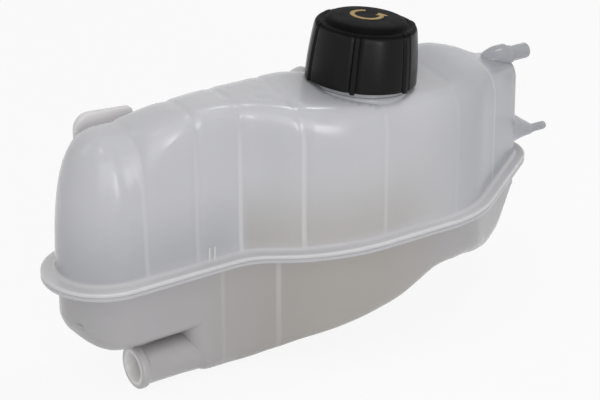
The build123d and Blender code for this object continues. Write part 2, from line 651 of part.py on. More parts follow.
pieces = {
    "upper_half": upper_half,
    "lower_half": lower_half,
    "cap_knob": cap_knob,
    "valve_pot": valve_pot,
    "pot_o_ring": pot_o_ring,
    "valve_seal": valve_seal,
    "pressure_valve_plate": pressure_valve_plate,
    "pressure_spring": pressure_spring,
    "spring_retainer": spring_retainer,
    "vacuum_poppet": vacuum_poppet,
    "vacuum_spring": vacuum_spring,
    "vacuum_clip": vacuum_clip,
}
os.makedirs("parts", exist_ok=True)
for name, piece in pieces.items():
    piece.part.label = name
    export_step(piece.part, f"parts/{name}.step")
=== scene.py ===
from math import cos, pi, radians, sin, sqrt

import bmesh
import bpy
import numpy as np
from mathutils import Matrix, Vector


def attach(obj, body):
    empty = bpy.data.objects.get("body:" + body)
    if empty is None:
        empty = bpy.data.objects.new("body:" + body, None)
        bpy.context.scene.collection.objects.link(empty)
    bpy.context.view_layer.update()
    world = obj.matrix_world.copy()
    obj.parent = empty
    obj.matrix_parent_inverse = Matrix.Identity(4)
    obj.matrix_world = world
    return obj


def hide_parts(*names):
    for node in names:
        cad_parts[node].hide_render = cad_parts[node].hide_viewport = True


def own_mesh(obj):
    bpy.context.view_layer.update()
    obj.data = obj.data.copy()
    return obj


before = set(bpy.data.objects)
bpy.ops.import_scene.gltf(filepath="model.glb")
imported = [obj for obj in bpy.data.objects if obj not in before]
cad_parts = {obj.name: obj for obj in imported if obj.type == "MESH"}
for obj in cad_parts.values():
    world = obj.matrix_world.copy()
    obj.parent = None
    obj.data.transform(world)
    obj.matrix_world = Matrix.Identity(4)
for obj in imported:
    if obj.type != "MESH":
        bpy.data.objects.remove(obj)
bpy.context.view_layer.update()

# Lower half: the sump of the tank, injection moulded in natural polypropylene.
# Its floor steps down behind the hose spigot, and its flange is hot-plate welded to the upper half's.
# Sizes are in millimetres, seen in the tank's own frame.
MM = 0.001
WELD_Z = 2.2                  # plane where the two flanges meet
FLANGE = 2.2                  # thickness of each half's flange
FLANGE_WIDTH = 6.0
LEFT_CENTRE_X = -88.2
LEFT_RADIUS = 31.7
BACK_Y = 73.6
LEFT_CENTRE_Y = BACK_Y - LEFT_RADIUS
FRONT_LEFT_Y = BACK_Y - 2 * LEFT_RADIUS
STEP = 24.0
FRONT_RIGHT_Y = FRONT_LEFT_Y - STEP
STEP_X = -33.0
STEP_ANGLE = radians(34.0)
STEP_IN_RADIUS = 36.0
STEP_OUT_RADIUS = STEP / (1 - cos(STEP_ANGLE)) - STEP_IN_RADIUS
STEP_END_X = STEP_X + (STEP_IN_RADIUS + STEP_OUT_RADIUS) * sin(STEP_ANGLE)
CORNER_RADIUS = 60.0
BEVEL = radians(35.2)
BEVEL_X = 104.7
CORNER_X = BEVEL_X - CORNER_RADIUS * (1 - cos(BEVEL)) / sin(BEVEL)
RIGHT_RADIUS = 23.5
RIGHT_CENTRE_Y = BACK_Y - RIGHT_RADIUS
RIGHT_CENTRE_X = BEVEL_X + (
    (RIGHT_CENTRE_Y - FRONT_RIGHT_Y) * cos(BEVEL) - RIGHT_RADIUS
) / sin(BEVEL)
WALL = 2.8
LOWER_LEFT_X = -85.6
FOOT_ROUND = 2.2              # hollow between a wall and its flange
FOOT_START = 0.3              # angle at which that hollow leaves the wall
PARALLEL = 1e-9               # stands for 0 where two directions never cross
EDGE_ROUND = 0.8
WELD_GROOVE = 0.45
FLOOR_ROUND = 9.0
SEAM = 0.0004                 # points closer than this are one point of a sheet
SLIVER = 0.02                 # shorter edges than this are merged after a join
SPACING = 2.2                 # between the cross-sections along a floor
WALL_ROWS = 12                # points in a cross-section: up a wall, round its bend and over the floor
BEND_ROWS = 8
FLOOR_ROWS = 10
END_ROWS = 13                 # cross-sections crowded into a round end
SPIGOT_AXIS = (27.1, -48.2)   # Y and Z of the hose spigot


def chord(radius, run):
    """Half the width of a circle at a distance from its middle."""
    return sqrt(max(radius * radius - run * run, 0.0))


def front_edge(x, inset, left_x):
    """Y of the tank's front, seen from above and set in from the flange's outer edge."""
    if x < left_x:
        return LEFT_CENTRE_Y - chord(LEFT_RADIUS - inset, x - left_x)
    if x < STEP_X:
        return FRONT_LEFT_Y + inset
    if x < STEP_X + (STEP_IN_RADIUS + inset) * sin(STEP_ANGLE):
        return FRONT_LEFT_Y - STEP_IN_RADIUS + chord(STEP_IN_RADIUS + inset, x - STEP_X)
    if x < STEP_END_X:
        return FRONT_RIGHT_Y + STEP_OUT_RADIUS - chord(STEP_OUT_RADIUS - inset, x - STEP_END_X)
    if x < CORNER_X:
        return FRONT_RIGHT_Y + inset
    if x < CORNER_X + (CORNER_RADIUS - inset) * sin(BEVEL):
        return FRONT_RIGHT_Y + CORNER_RADIUS - chord(CORNER_RADIUS - inset, x - CORNER_X)
    if x < RIGHT_CENTRE_X + (RIGHT_RADIUS - inset) * sin(BEVEL):
        return FRONT_RIGHT_Y + ((x - BEVEL_X) * sin(BEVEL) + inset) / cos(BEVEL)
    return RIGHT_CENTRE_Y - chord(RIGHT_RADIUS - inset, x - RIGHT_CENTRE_X)


def back_edge(x, inset, left_x):
    """Y of the tank's back in the same view."""
    if x < left_x:
        return LEFT_CENTRE_Y + chord(LEFT_RADIUS - inset, x - left_x)
    if x < RIGHT_CENTRE_X:
        return BACK_Y - inset
    return RIGHT_CENTRE_Y + chord(RIGHT_RADIUS - inset, x - RIGHT_CENTRE_X)


def flange_outline(samples=700):
    """The flange's outer edge as a closed loop of points, seen from above."""
    low = LEFT_CENTRE_X - LEFT_RADIUS
    high = RIGHT_CENTRE_X + RIGHT_RADIUS
    turn = np.linspace(0, pi, samples)
    xs = (low + high) / 2 - (high - low) / 2 * np.cos(turn)
    front = [(x, front_edge(x, 0, LEFT_CENTRE_X)) for x in xs]
    back = [(x, back_edge(x, 0, LEFT_CENTRE_X)) for x in xs[-2:0:-1]]
    return np.array(front + back)


def rounded_line(corners, steps=8):
    """Points along a line whose corners, given as x, z and radius, are rounded."""
    points = [np.array(corners[0][:2])]
    for before, corner, after in zip(corners, corners[1:], corners[2:]):
        here = np.array(corner[:2])
        way_in = np.array(before[:2]) - here
        way_out = np.array(after[:2]) - here
        way_in /= np.linalg.norm(way_in)
        way_out /= np.linalg.norm(way_out)
        half = np.arccos(np.clip(way_in @ way_out, -1, 1)) / 2
        tangent = corner[2] / np.tan(half)
        middle = here + (way_in + way_out) / np.linalg.norm(way_in + way_out) * corner[2] / np.sin(half)
        first = here + way_in * tangent - middle
        last = here + way_out * tangent - middle
        sweep = np.arctan2(first[0] * last[1] - first[1] * last[0], first @ last)
        for turn in np.linspace(0, sweep, steps):
            spin = np.array([[cos(turn), -sin(turn)], [sin(turn), cos(turn)]])
            points.append(middle + spin @ first)
    points.append(np.array(corners[-1][:2]))
    return np.array(points)


def along(points, spacing):
    """The same line with its points about one spacing apart."""
    steps = np.linalg.norm(np.diff(points, axis=0), axis=1)
    run = np.concatenate([[0], np.cumsum(steps)])
    stops = np.linspace(0, run[-1], int(run[-1] / spacing) + 2)
    return np.column_stack([np.interp(stops, run, points[:, k]) for k in range(points.shape[1])])


def new_points(skin, places):
    """Adds points to a skin, given in millimetres."""
    return [skin.verts.new(Vector(p) * MM) for p in places]


def add_grid(skin, rows):
    """Adds a sheet of quads through rows of points, in millimetres."""
    lines = [new_points(skin, row) for row in rows]
    for line, following in zip(lines, lines[1:]):
        for k in range(len(line) - 1):
            skin.faces.new((line[k], line[k + 1], following[k + 1], following[k]))


def rim_of(skin):
    """The open edge of a sheet, as its points in order, anticlockwise from above."""
    open_edges = [e for e in skin.edges if e.is_boundary]
    start = open_edges[0]
    rim = [start.verts[0], start.verts[1]]
    used = {start}
    while True:
        onward = [e for e in rim[-1].link_edges if e.is_boundary and e not in used]
        if not onward:
            break
        used.add(onward[0])
        rim.append(onward[0].other_vert(rim[-1]))
    rim = rim[:-1] if rim[-1] is rim[0] else rim
    area = sum(a.co.x * b.co.y - b.co.x * a.co.y for a, b in zip(rim, rim[1:] + rim[:1]))
    return rim if area > 0 else rim[::-1]


def finish_sheet(skin):
    """Merges a sheet's seams and drops what has no area."""
    bmesh.ops.remove_doubles(skin, verts=skin.verts, dist=SEAM * MM)
    bmesh.ops.dissolve_degenerate(skin, edges=skin.edges, dist=SEAM * MM)
    skin.normal_update()


def placed(name, data):
    """Puts a mesh, a lamp or a camera into the scene."""
    thing = bpy.data.objects.new(name, data)
    bpy.context.scene.collection.objects.link(thing)
    return thing


def piece_from(skin, name):
    """Makes an object from a closed skin, with its faces pointing outwards."""
    bmesh.ops.recalc_face_normals(skin, faces=skin.faces)
    if skin.calc_volume(signed=True) < 0:
        bmesh.ops.reverse_faces(skin, faces=skin.faces)
    mesh = bpy.data.meshes.new(name)
    skin.to_mesh(mesh)
    skin.free()
    return placed(name, mesh)


def bridge_rings(skin, rings, steps):
    """Joins closed rings of points one after another; a ring may be a single point on an axis."""
    for ring, following in zip(rings, rings[1:]):
        for k in range(steps):
            n = (k + 1) % steps
            near = [ring[k % len(ring)], ring[n % len(ring)]]
            far = [following[n % len(following)], following[k % len(following)]]
            skin.faces.new(dict.fromkeys(near + far))


def ring_on(skin, before, places):
    """Adds a closed ring of points and joins it to the ring before it."""
    ring = new_points(skin, places)
    bridge_rings(skin, [before, ring], len(ring))
    return ring


FLANGE_EDGE = flange_outline()


def flange_on(skin, side):
    """Grows the weld flange out of a half's open rim; side is 1 above the weld and -1 below it."""
    rim = rim_of(skin)
    foot = np.array([v.co for v in rim])[:, :2] / MM
    ahead = np.roll(foot, -1, axis=0) - np.roll(foot, 1, axis=0)
    out = np.column_stack([ahead[:, 1], -ahead[:, 0]])
    out /= np.linalg.norm(out, axis=1)[:, None]
    run = np.roll(FLANGE_EDGE, -1, axis=0) - FLANGE_EDGE
    lead = FLANGE_EDGE[None] - foot[:, None]
    across = out[:, None, 0] * run[None, :, 1] - out[:, None, 1] * run[None, :, 0]
    across = np.where(abs(across) < PARALLEL, PARALLEL, across)
    reach = (lead[..., 0] * run[None, :, 1] - lead[..., 1] * run[None, :, 0]) / across
    share = (lead[..., 0] * out[:, None, 1] - lead[..., 1] * out[:, None, 0]) / across
    reach = np.where((share >= 0) & (share <= 1) & (reach > 0), reach, np.inf).min(axis=1)
    profile = [(FOOT_ROUND * (1 - cos(a)), FLANGE + FOOT_ROUND * (1 - sin(a)), 0)
               for a in np.linspace(FOOT_START, pi / 2, 5)]
    profile += [(-2 * EDGE_ROUND, FLANGE, 1)]
    profile += [(-EDGE_ROUND * (1 - sin(a)), FLANGE - EDGE_ROUND * (1 - cos(a)), 1)
                for a in np.linspace(0, pi / 2, 4)]
    profile += [(0, WELD_GROOVE, 1), (-WELD_GROOVE, 0, 1)]
    ring = rim
    for away, height, from_edge in profile:
        place = foot + out * (away + from_edge * reach)[:, None]
        heights = np.full((len(place), 1), WELD_Z + side * height)
        ring = ring_on(skin, ring, np.hstack([place, heights]))
    skin.faces.new(ring)


def core_of(skin, side, sink, rib):
    """Sinks a smooth outer sheet over its inner ribs, and gives the sheet of the core that hollows it.
    sink and rib give, at a point, how far the outside sinks and how deep the rib stands inside."""
    finish_sheet(skin)
    bmesh.ops.recalc_face_normals(skin, faces=skin.faces)
    crest = max(skin.verts, key=lambda v: side * v.co.z)
    if crest.normal.z * side < 0:
        bmesh.ops.reverse_faces(skin, faces=skin.faces)
    skin.normal_update()
    core = skin.copy()
    core.normal_update()
    normals = [v.normal.copy() for v in core.verts]
    for vert, normal in zip(core.verts, normals):
        vert.co -= normal * (WALL + rib(vert.co / MM)) * MM
    normals = [v.normal.copy() for v in skin.verts]
    for vert, normal in zip(skin.verts, normals):
        vert.co -= normal * sink(vert.co / MM) * MM
    return core


def half_shell(skin, side, name, sink, rib):
    """Turns a half's outer sheet into its moulded body, with the flange, and the core that hollows it."""
    core = core_of(skin, side, sink, rib)
    flange_on(skin, side)
    inner_rim = rim_of(core)
    mouth = [(*(v.co.xy / MM), WELD_Z - side) for v in inner_rim]
    core.faces.new(ring_on(core, inner_rim, mouth))
    return piece_from(skin, name), piece_from(core, name + "_core")


def joined(piece, tool, operation):
    """Cuts or adds one solid, the way a core or an insert shapes the moulding."""
    cut = piece.modifiers.new("shape", "BOOLEAN")
    cut.object = tool
    cut.operation = operation
    cut.solver = "MANIFOLD"
    graph = bpy.context.evaluated_depsgraph_get()
    mesh = bpy.data.meshes.new_from_object(piece.evaluated_get(graph))
    piece.modifiers.clear()
    old = piece.data
    piece.data = mesh
    bpy.data.meshes.remove(old)
    bpy.data.objects.remove(tool)


def cleaned(piece):
    """Splits a joined piece into even triangles and drops the slivers along its joins."""
    skin = bmesh.new()
    skin.from_mesh(piece.data)
    bmesh.ops.remove_doubles(skin, verts=skin.verts, dist=SLIVER * MM)
    bmesh.ops.triangulate(skin, faces=skin.faces, quad_method="BEAUTY", ngon_method="BEAUTY")
    bmesh.ops.dissolve_degenerate(skin, edges=skin.edges, dist=SLIVER * MM)
    skin.to_mesh(piece.data)
    skin.free()


def moulded(piece, added, hollows):
    """Adds a moulding's fittings, cuts its hollows and cleans what was joined."""
    for tool in added:
        joined(piece, tool, "UNION")
    for tool in hollows:
        joined(piece, tool, "DIFFERENCE")
    cleaned(piece)


def all_round(steps):
    """Evenly spaced angles over one turn."""
    return np.linspace(0, 2 * pi, steps, endpoint=False)


def axis_at(place, turn):
    """The matrix that puts a turned solid's foot in place, its axis turned about Y."""
    return Matrix.Translation(Vector(place) * MM) @ Matrix.Rotation(turn, 4, "Y")


def turned(profile, name, place, steps=64):
    """A solid turned round its own Z from an outline of radius and height, put in place by a matrix."""
    skin = bmesh.new()
    rings = []
    for radius, height in profile:
        spokes = all_round(steps) if radius else [0.0]
        rings.append(new_points(skin, [(radius * cos(a), radius * sin(a), height) for a in spokes]))
    bridge_rings(skin, rings, steps)
    bmesh.ops.transform(skin, matrix=place, verts=skin.verts)
    return piece_from(skin, name)


LOWER_LEFT_TIP = LOWER_LEFT_X - LEFT_RADIUS + FLANGE_WIDTH
RIGHT_TIP = RIGHT_CENTRE_X + RIGHT_RADIUS - FLANGE_WIDTH
SUMP_LINE = rounded_line([
    (-54.0, -FOOT_ROUND, 0.0),
    (-54.0, -59.6, 12.0),
    (-20.0, -59.6, 40.0),
    (4.0, -49.6, 60.0),
    (60.0, -37.2, 60.0),
    (84.0, -24.5, 12.0),
    (84.0, -FOOT_ROUND, 0.0),
])
TRAY_LINE = rounded_line([
    (LOWER_LEFT_TIP, 0.0, 0.0),
    (LOWER_LEFT_TIP, -22.7, FLOOR_ROUND),
    (-100.0, -34.0, 20.0),
    (67.0, -33.5, 30.0),
    (84.0, -24.5, 25.0),
    (102.0, -25.0, 25.0),
    (128.0, -33.6, 25.0),
    (146.0, -33.6, 25.0),
    (RIGHT_TIP, -16.7, FLOOR_ROUND),
    (RIGHT_TIP, 0.0, 0.0),
])


def lower_sheet(floor_line, inset, round_ends):
    """An outside of the lower half: cross-sections along its floor's line, from one end to the other."""
    line = along(floor_line[1:-1] if round_ends else floor_line, SPACING)
    if round_ends:
        shares = np.linspace(0, 1, END_ROWS + 2)[1:-1] ** 2
        head = [line[0] + (line[1] - line[0]) * share for share in shares]
        tail = [line[-1] + (line[-2] - line[-1]) * share for share in shares[::-1]]
        line = np.array([line[0], *head, *line[1:-1], *tail, line[-1]])
    ahead = np.gradient(line, axis=0)
    ups = np.column_stack([-ahead[:, 1], ahead[:, 0]])
    ups /= np.linalg.norm(ups, axis=1)[:, None]
    low, high = line[0, 0], line[-1, 0]
    run = np.concatenate([[0], np.cumsum(np.linalg.norm(np.diff(line, axis=0), axis=1))])

    def side(edge, here):
        return edge(min(max(here, low), high), inset, LOWER_LEFT_X)

    columns = []
    for k, ((x, z), up) in enumerate(zip(line, ups)):
        width = side(back_edge, x) - side(front_edge, x)
        bend = min(FLOOR_ROUND, width / 2)
        high_x = x + up[0] * bend
        high_z = z + up[1] * bend
        if round_ends:
            ahead_x = low + (high - low) * run[k] / run[-1]
            top_x = high_x if k in (0, len(line) - 1) else (high_x + ahead_x) / 2
        else:
            top_x = low + bend + (high - low - 2 * bend) * run[k] / run[-1]
        shares = np.linspace(0, 1, WALL_ROWS, endpoint=False)
        wall = [(top_x + (high_x - top_x) * s, -FOOT_ROUND + (high_z + FOOT_ROUND) * s) for s in shares]
        front = [(h, side(front_edge, h), v) for h, v in wall]
        back = [(h, side(back_edge, h), v) for h, v in wall[::-1]]
        front_turn = []
        back_turn = []
        for turn in np.linspace(0, pi / 2, BEND_ROWS):
            away = bend * (1 - cos(turn))
            lift = bend * (1 - sin(turn))
            h, v = x + up[0] * lift, z + up[1] * lift
            front_turn.append((h, side(front_edge, h) + away, v))
            back_turn.insert(0, (h, side(back_edge, h) - away, v))
        first, last = np.array(front_turn[-1]), np.array(back_turn[0])
        middle = [tuple(first + (last - first) * s) for s in np.linspace(0, 1, FLOOR_ROWS + 2)[1:-1]]
        columns.append(front + front_turn + middle + back_turn + back)
    skin = bmesh.new()
    add_grid(skin, columns)
    return skin


def bell(run, width):
    """A soft bump, 1 at its middle."""
    return np.exp(-(run / width) ** 2)


def plain(point):
    """No sink and no rib."""
    return 0.0


PROUD = 0.02                  # by which the sump's sides clear the tray's


def sump():
    """The deep part behind the spigot and its core; its sides stand a hair proud of the tray's."""
    skin = lower_sheet(SUMP_LINE - (0, PROUD), FLANGE_WIDTH - PROUD, False)
    core = core_of(skin, -1, plain, plain)
    for sheet in (skin, core):
        sheet.faces.new(rim_of(sheet))
    return piece_from(skin, "sump"), piece_from(core, "sump_core")


tray_skin = lower_sheet(TRAY_LINE, FLANGE_WIDTH, True)
lower_half, lower_core = half_shell(tray_skin, -1, "tank_lower_half", plain, plain)
sump_body, sump_core = sump()
to_spigot = axis_at((0, *SPIGOT_AXIS), -pi / 2)
SPIGOT_LINE = [
    (0, 40.0), (10.6, 44.0), (10.5, 51.0), (10.3, 54.0), (10.2, 57.0), (10.2, 77.0), (10.5, 78.0),
    (11.2, 78.7), (11.5, 79.6), (11.5, 81.4), (11.2, 82.3), (10.4, 82.8), (0, 82.8),
]
SPIGOT_MOUTH = 8.6            # radius within which a point lies in the spigot's bore
SPIGOT_ROOT_X = -56.0
SPIGOT_BORE_LINE = [(0, 38.0), (7.2, 38.0), (7.2, 81.6), (8.2, 83.4), (0, 83.4)]
spigot = turned(SPIGOT_LINE, "spigot", to_spigot, 72)
spigot_bore = turned(SPIGOT_BORE_LINE, "spigot_bore", to_spigot)
moulded(lower_half, (sump_body, spigot), (lower_core, sump_core, spigot_bore))


def new_finish(name):
    """A material with its shader, and the object's own coordinates to lay patterns on."""
    finish = bpy.data.materials.new(name)
    finish.use_nodes = True
    tree = finish.node_tree
    tree.nodes.clear()
    end = tree.nodes.new("ShaderNodeOutputMaterial")
    shader = tree.nodes.new("ShaderNodeBsdfPrincipled")
    tree.links.new(shader.outputs["BSDF"], end.inputs["Surface"])
    place = tree.nodes.new("ShaderNodeTexCoord")
    return finish, tree, shader, place.outputs["Object"]


def grain(tree, place, scale, detail=3.0, stretch=(1, 1, 1)):
    """Noise of one size, drawn out along the given axes."""
    turn = tree.nodes.new("ShaderNodeMapping")
    turn.inputs["Scale"].default_value = stretch
    noise = tree.nodes.new("ShaderNodeTexNoise")
    noise.inputs["Scale"].default_value = scale
    noise.inputs["Detail"].default_value = detail
    tree.links.new(place, turn.inputs["Vector"])
    tree.links.new(turn.outputs["Vector"], noise.inputs["Vector"])
    return noise.outputs["Fac"]


def feed(tree, socket, value):
    """Gives a socket a number, a colour or the value of another node."""
    if isinstance(value, bpy.types.NodeSocket):
        tree.links.new(value, socket)
    elif isinstance(value, tuple):
        socket.default_value = (*value, 1)
    else:
        socket.default_value = value


def spread(tree, value, low, high, start=0.3, end=0.7):
    """Brings a pattern into the range that a socket needs."""
    fit = tree.nodes.new("ShaderNodeMapRange")
    names = ("Value", "From Min", "From Max", "To Min", "To Max")
    for name, given in zip(names, (value, start, end, low, high)):
        feed(tree, fit.inputs[name], given)
    return fit.outputs["Result"]


def worked_out(tree, operation, *values):
    """One step of arithmetic on numbers and the values of other nodes."""
    node = tree.nodes.new("ShaderNodeMath")
    node.operation = operation
    for socket, value in zip(node.inputs, values):
        feed(tree, socket, value)
    return node.outputs[0]


def tinted(tree, share, first, second):
    """One colour passing into another; each is a colour or another tint."""
    mix = tree.nodes.new("ShaderNodeMix")
    mix.data_type = "RGBA"
    for socket, value in ((mix.inputs["Factor"], share), (mix.inputs[6], first), (mix.inputs[7], second)):
        feed(tree, socket, value)
    return mix.outputs[2]


def relief(tree, shader, heights):
    """Lays bumps over each other, each with its pattern, strength and depth in metres."""
    before = None
    for pattern, strength, depth in heights:
        bump = tree.nodes.new("ShaderNodeBump")
        bump.inputs["Strength"].default_value = strength
        bump.inputs["Distance"].default_value = depth
        tree.links.new(pattern, bump.inputs["Height"])
        if before:
            tree.links.new(before, bump.inputs["Normal"])
        before = bump.outputs["Normal"]
    tree.links.new(before, shader.inputs["Normal"])


def painted(tree, name):
    """A value that the mesh carries at its points."""
    reader = tree.nodes.new("ShaderNodeAttribute")
    reader.attribute_name = name
    return reader.outputs["Fac"]


def carry(piece, name, values):
    """Stores a value at each point of a piece for its material."""
    store = piece.data.attributes.new(name, "FLOAT", "POINT")
    store.data.foreach_set("value", np.asarray(values, np.float32))


def points_of(piece):
    """A piece's points in millimetres."""
    flat = np.empty(len(piece.data.vertices) * 3)
    piece.data.vertices.foreach_get("co", flat)
    return flat.reshape(-1, 3) / MM


def dress(piece, finish, body, sharp=32.0):
    """Gives a finished piece its material, smooth shading and body."""
    piece.data.materials.clear()
    piece.data.materials.append(finish)
    piece.data.shade_smooth()
    piece.data.set_sharp_from_angle(angle=radians(sharp))
    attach(piece, body)


MILKY = (0.640, 0.640, 0.665)
# Lower half's base: darker and warmer than MILKY, partly a warmer tint of its plastic, partly painted shade
# under the flange.
LOWER_MILKY_AND_SHADE = (0.548, 0.542, 0.575)
SHADED = (0.388, 0.396, 0.426)
# Brown tint laid on low down, browner and darker towards the bottom.
BROWN_TINT = (0.445, 0.412, 0.365)
# Pale colour of thick plastic, also used as painted light on the tongue.
THICK_AND_BACKLIT_PALE = (0.770, 0.752, 0.758)
LIT_BORE = (0.930, 0.915, 0.900)
LOWER_STRIPES = ((-36.0, 0.18), (-8.0, 0.35))    # x and strength of a rib's stripe
STRIPE_HALF = 0.6             # of the even part of a rib's stripe
STRIPE_EDGE = 1.5             # where the stripe has faded out


def rib_stripes(tree, place, ribs):
    """Pale stripes where the inner ribs show through the wall, each at its x with its strength."""
    apart = tree.nodes.new("ShaderNodeSeparateXYZ")
    tree.links.new(place, apart.inputs["Vector"])
    stripes = 0.0
    for x, strength in ribs:
        away = worked_out(tree, "SUBTRACT", apart.outputs["X"], x * MM)
        distance = worked_out(tree, "ABSOLUTE", away)
        stripe = spread(tree, distance, strength, 0.0, STRIPE_HALF * MM, STRIPE_EDGE * MM)
        stripes = worked_out(tree, "MAXIMUM", stripes, stripe)
    return worked_out(tree, "MULTIPLY", stripes, painted(tree, "rib"))


def tank_finish(name, milky, ribs):
    """Natural polypropylene: milky and lit through, browner low down and paler over the flange and ribs; with
    painted shade, and painted light on the tongue and in the spigot's bore.
    """
    finish, tree, shader, place = new_finish(name)
    cloud = spread(tree, grain(tree, place, 18.0, 1.0, (1, 1, 0.5)), 0.0, 0.10)
    body = tinted(tree, painted(tree, "shade"), milky, SHADED)
    body = tinted(tree, painted(tree, "brown_low"), body, BROWN_TINT)
    body = tinted(tree, cloud, body, SHADED)
    body = tinted(tree, rib_stripes(tree, place, ribs), body, THICK_AND_BACKLIT_PALE)
    body = tinted(tree, painted(tree, "thick_and_backlit"), body, THICK_AND_BACKLIT_PALE)
    body = tinted(tree, painted(tree, "bore"), body, LIT_BORE)
    tree.links.new(body, shader.inputs["Base Color"])
    tree.links.new(spread(tree, grain(tree, place, 60.0), 0.17, 0.26), shader.inputs["Roughness"])
    shader.inputs["IOR"].default_value = 1.49
    shader.inputs["Subsurface Weight"].default_value = 0.6
    shader.inputs["Subsurface Radius"].default_value = (1.0, 0.95, 0.9)
    shader.inputs["Subsurface Scale"].default_value = 0.006
    ripple = grain(tree, place, 34.0, 1.0, (0.6, 0.6, 1.4))
    relief(tree, shader, [(ripple, 0.18, 0.002), (grain(tree, place, 900.0, 2.0), 0.05, 0.0002)])
    return finish


def ramp(value, start, end):
    """0 before the start, 1 past the end, and a soft rise between them."""
    share = np.clip((value - start) / (end - start), 0, 1)
    return share * share * (3 - 2 * share)


def band(run, half, soft=0.3):
    """1 over a narrow stripe with crisp edges."""
    return np.clip((half + soft - np.abs(run)) / soft, 0, 1)


# What the finish reads at each point of a half: places in millimetres, and strengths from 0 to 1.
along_x, across_y, at_z = points_of(lower_half).T
off_spigot = np.hypot(across_y - SPIGOT_AXIS[0], at_z - SPIGOT_AXIS[1])
off_flange = ramp(-at_z, 0, 3)
mid_length = ramp(along_x, -75, 10) * ramp(-along_x, -110, -40)
carry(lower_half, "rib", off_flange * (1 - 0.5 * ramp(-at_z, 10, 45)))
carry(lower_half, "thick_and_backlit", 0.25 * band(at_z - WELD_Z, FLANGE))
# Painted light: points in the spigot's bore are painted pale, standing for light through its wall.
carry(lower_half, "bore", (off_spigot < SPIGOT_MOUTH) & (along_x < SPIGOT_ROOT_X))
# Browner and darker over the whole lower half below the flange, most along its middle.
carry(lower_half, "brown_low", (0.30 + 0.45 * mid_length) * off_flange)
carry(lower_half, "shade", 0.22 + 0.78 * ramp(along_x, 75, 155))
lower_finish = tank_finish("lower_polypropylene", LOWER_MILKY_AND_SHADE, LOWER_STRIPES)
dress(lower_half, lower_finish, "tank")
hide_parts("lower_half")

# Upper half: the dome of the tank, moulded in the same plastic, with sink lines over its inner ribs.
# The filler neck, vent nipple, locating peg and mounting tongue are moulded in one with it.
UPPER_LEFT_X = -86.8
END_INSET = 8.8               # of the flat right end from the flange's tip
END_X = RIGHT_CENTRE_X + RIGHT_RADIUS - END_INSET
END_ROUND = 3.5
STATIONS = np.array([
    # x, roof at front and back, front shoulder's share and rise, back shoulder's, leans
    (UPPER_LEFT_X, 77.5, 77.5, 0.479, 60.0, 0.479, 60.0, 0.03, 0.03),
    (-80.0, 78.2, 78.0, 0.47, 50.0, 0.49, 52.0, 0.03, 0.04),
    (-71.0, 80.6, 80.2, 0.40, 25.0, 0.53, 44.0, 0.02, 0.06),
    (-62.0, 82.8, 82.3, 0.35, 17.5, 0.556, 38.0, 0.01, 0.08),
    (-40.0, 85.5, 85.0, 0.30, 14.5, 0.545, 30.0, 0.0, 0.13),
    (-15.0, 82.5, 86.3, 0.298, 16.0, 0.459, 28.0, 0.0, 0.14),
    (15.0, 77.0, 86.8, 0.236, 24.0, 0.336, 28.0, 0.0, 0.14),
    (47.0, 77.0, 79.2, 0.19, 24.0, 0.31, 28.0, 0.0, 0.14),
    (80.0, 74.0, 78.8, 0.19, 22.0, 0.309, 28.0, 0.0, 0.14),
    (108.0, 71.5, 83.3, 0.247, 20.0, 0.329, 28.0, 0.0, 0.13),
    (130.0, 67.0, 75.2, 0.267, 16.0, 0.37, 24.0, 0.01, 0.10),
    (150.0, 60.5, 64.2, 0.296, 14.0, 0.403, 20.0, 0.02, 0.06),
    (END_X, 56.0, 58.0, 0.28, 8.0, 0.28, 8.0, 0.02, 0.02),
])
STATION_SLOPES = np.gradient(STATIONS[:, 1:], STATIONS[:, 0], axis=0)
UPPER_RIBS = ((-78.0, 0.5), (-49.5, 0.6), (-25.0, 0.6), (3.5, 0.6), (46.6, 0.2), (92.0, 0.3))
UPPER_STRIPES = (
    (-78.0, 0.30), (-49.5, 0.26), (-25.0, 0.55), (3.5, 0.60), (46.6, 0.28), (92.0, 0.10), (132.0, 0.22),
)
RIB_STOPS = (-3.6, -2.4, -1.5, -1.2, 0.0, 1.2, 1.5, 2.4, 3.6, 4.8)    # cross-sections beside a rib
RIB_CLEAR = 4.6               # where the even cross-sections begin again
RIB_DEPTH = 4.0
RIB_HALF = 1.3
RIB_LIFT = 3.0                # of a rib's foot above the wall's
SINK_WIDTH = 2.6
SINK_START = 1.0              # the sink lines begin this far up the wall, and are full after the fade
SINK_FADE = 6.0
RIDGE_X = 36.0                # crest that the roof keeps behind the cap
RIDGE_HEIGHT = 8.0
RIDGE_WIDTH = 9.0
RIDGE_BACK = (47.0, 55.0)     # y over which the crest rises towards the back
RIDGE_FOOT = (60.0, 76.0)     # z over which it rises from the wall
NECK_FOOT = (50.5, 22.4, 74.5)
NECK_LEAN = radians(6.0)
COLLAR_REACH = 27.0           # the neck's collar lies within this of its axis
UPPER_FOOT = WELD_Z + FLANGE + FOOT_ROUND
LEAST_SHOULDER = 2.0
MOST_SHOULDERS = 0.96         # of the roof's width, both shoulders together
TIGHTER = ((-30.0, 40.0, 0.6), (55.0, 32.0, 0.4))    # x, reach and strength of a tighter front shoulder
LOFT_ROWS = 96                # cross-sections, and the points in each: wall, shoulder and roof
WALL_POINTS = 13
SHOULDER_POINTS = 12
ROOF_POINTS = 8
FAN_ROWS = 49                 # cross-sections round the left end


def station_at(x):
    """The upper half's section values at x, passing smoothly through the stations."""
    k = int(np.clip(np.searchsorted(STATIONS[:, 0], x) - 1, 0, len(STATIONS) - 2))
    low, high = STATIONS[k], STATIONS[k + 1]
    run = high[0] - low[0]
    t = (x - low[0]) / run
    return (
        low[1:] * (1 + 2 * t) * (1 - t) ** 2
        + high[1:] * t * t * (3 - 2 * t)
        + STATION_SLOPES[k] * run * t * (1 - t) ** 2
        - STATION_SLOPES[k + 1] * run * t * t * (1 - t)
    )


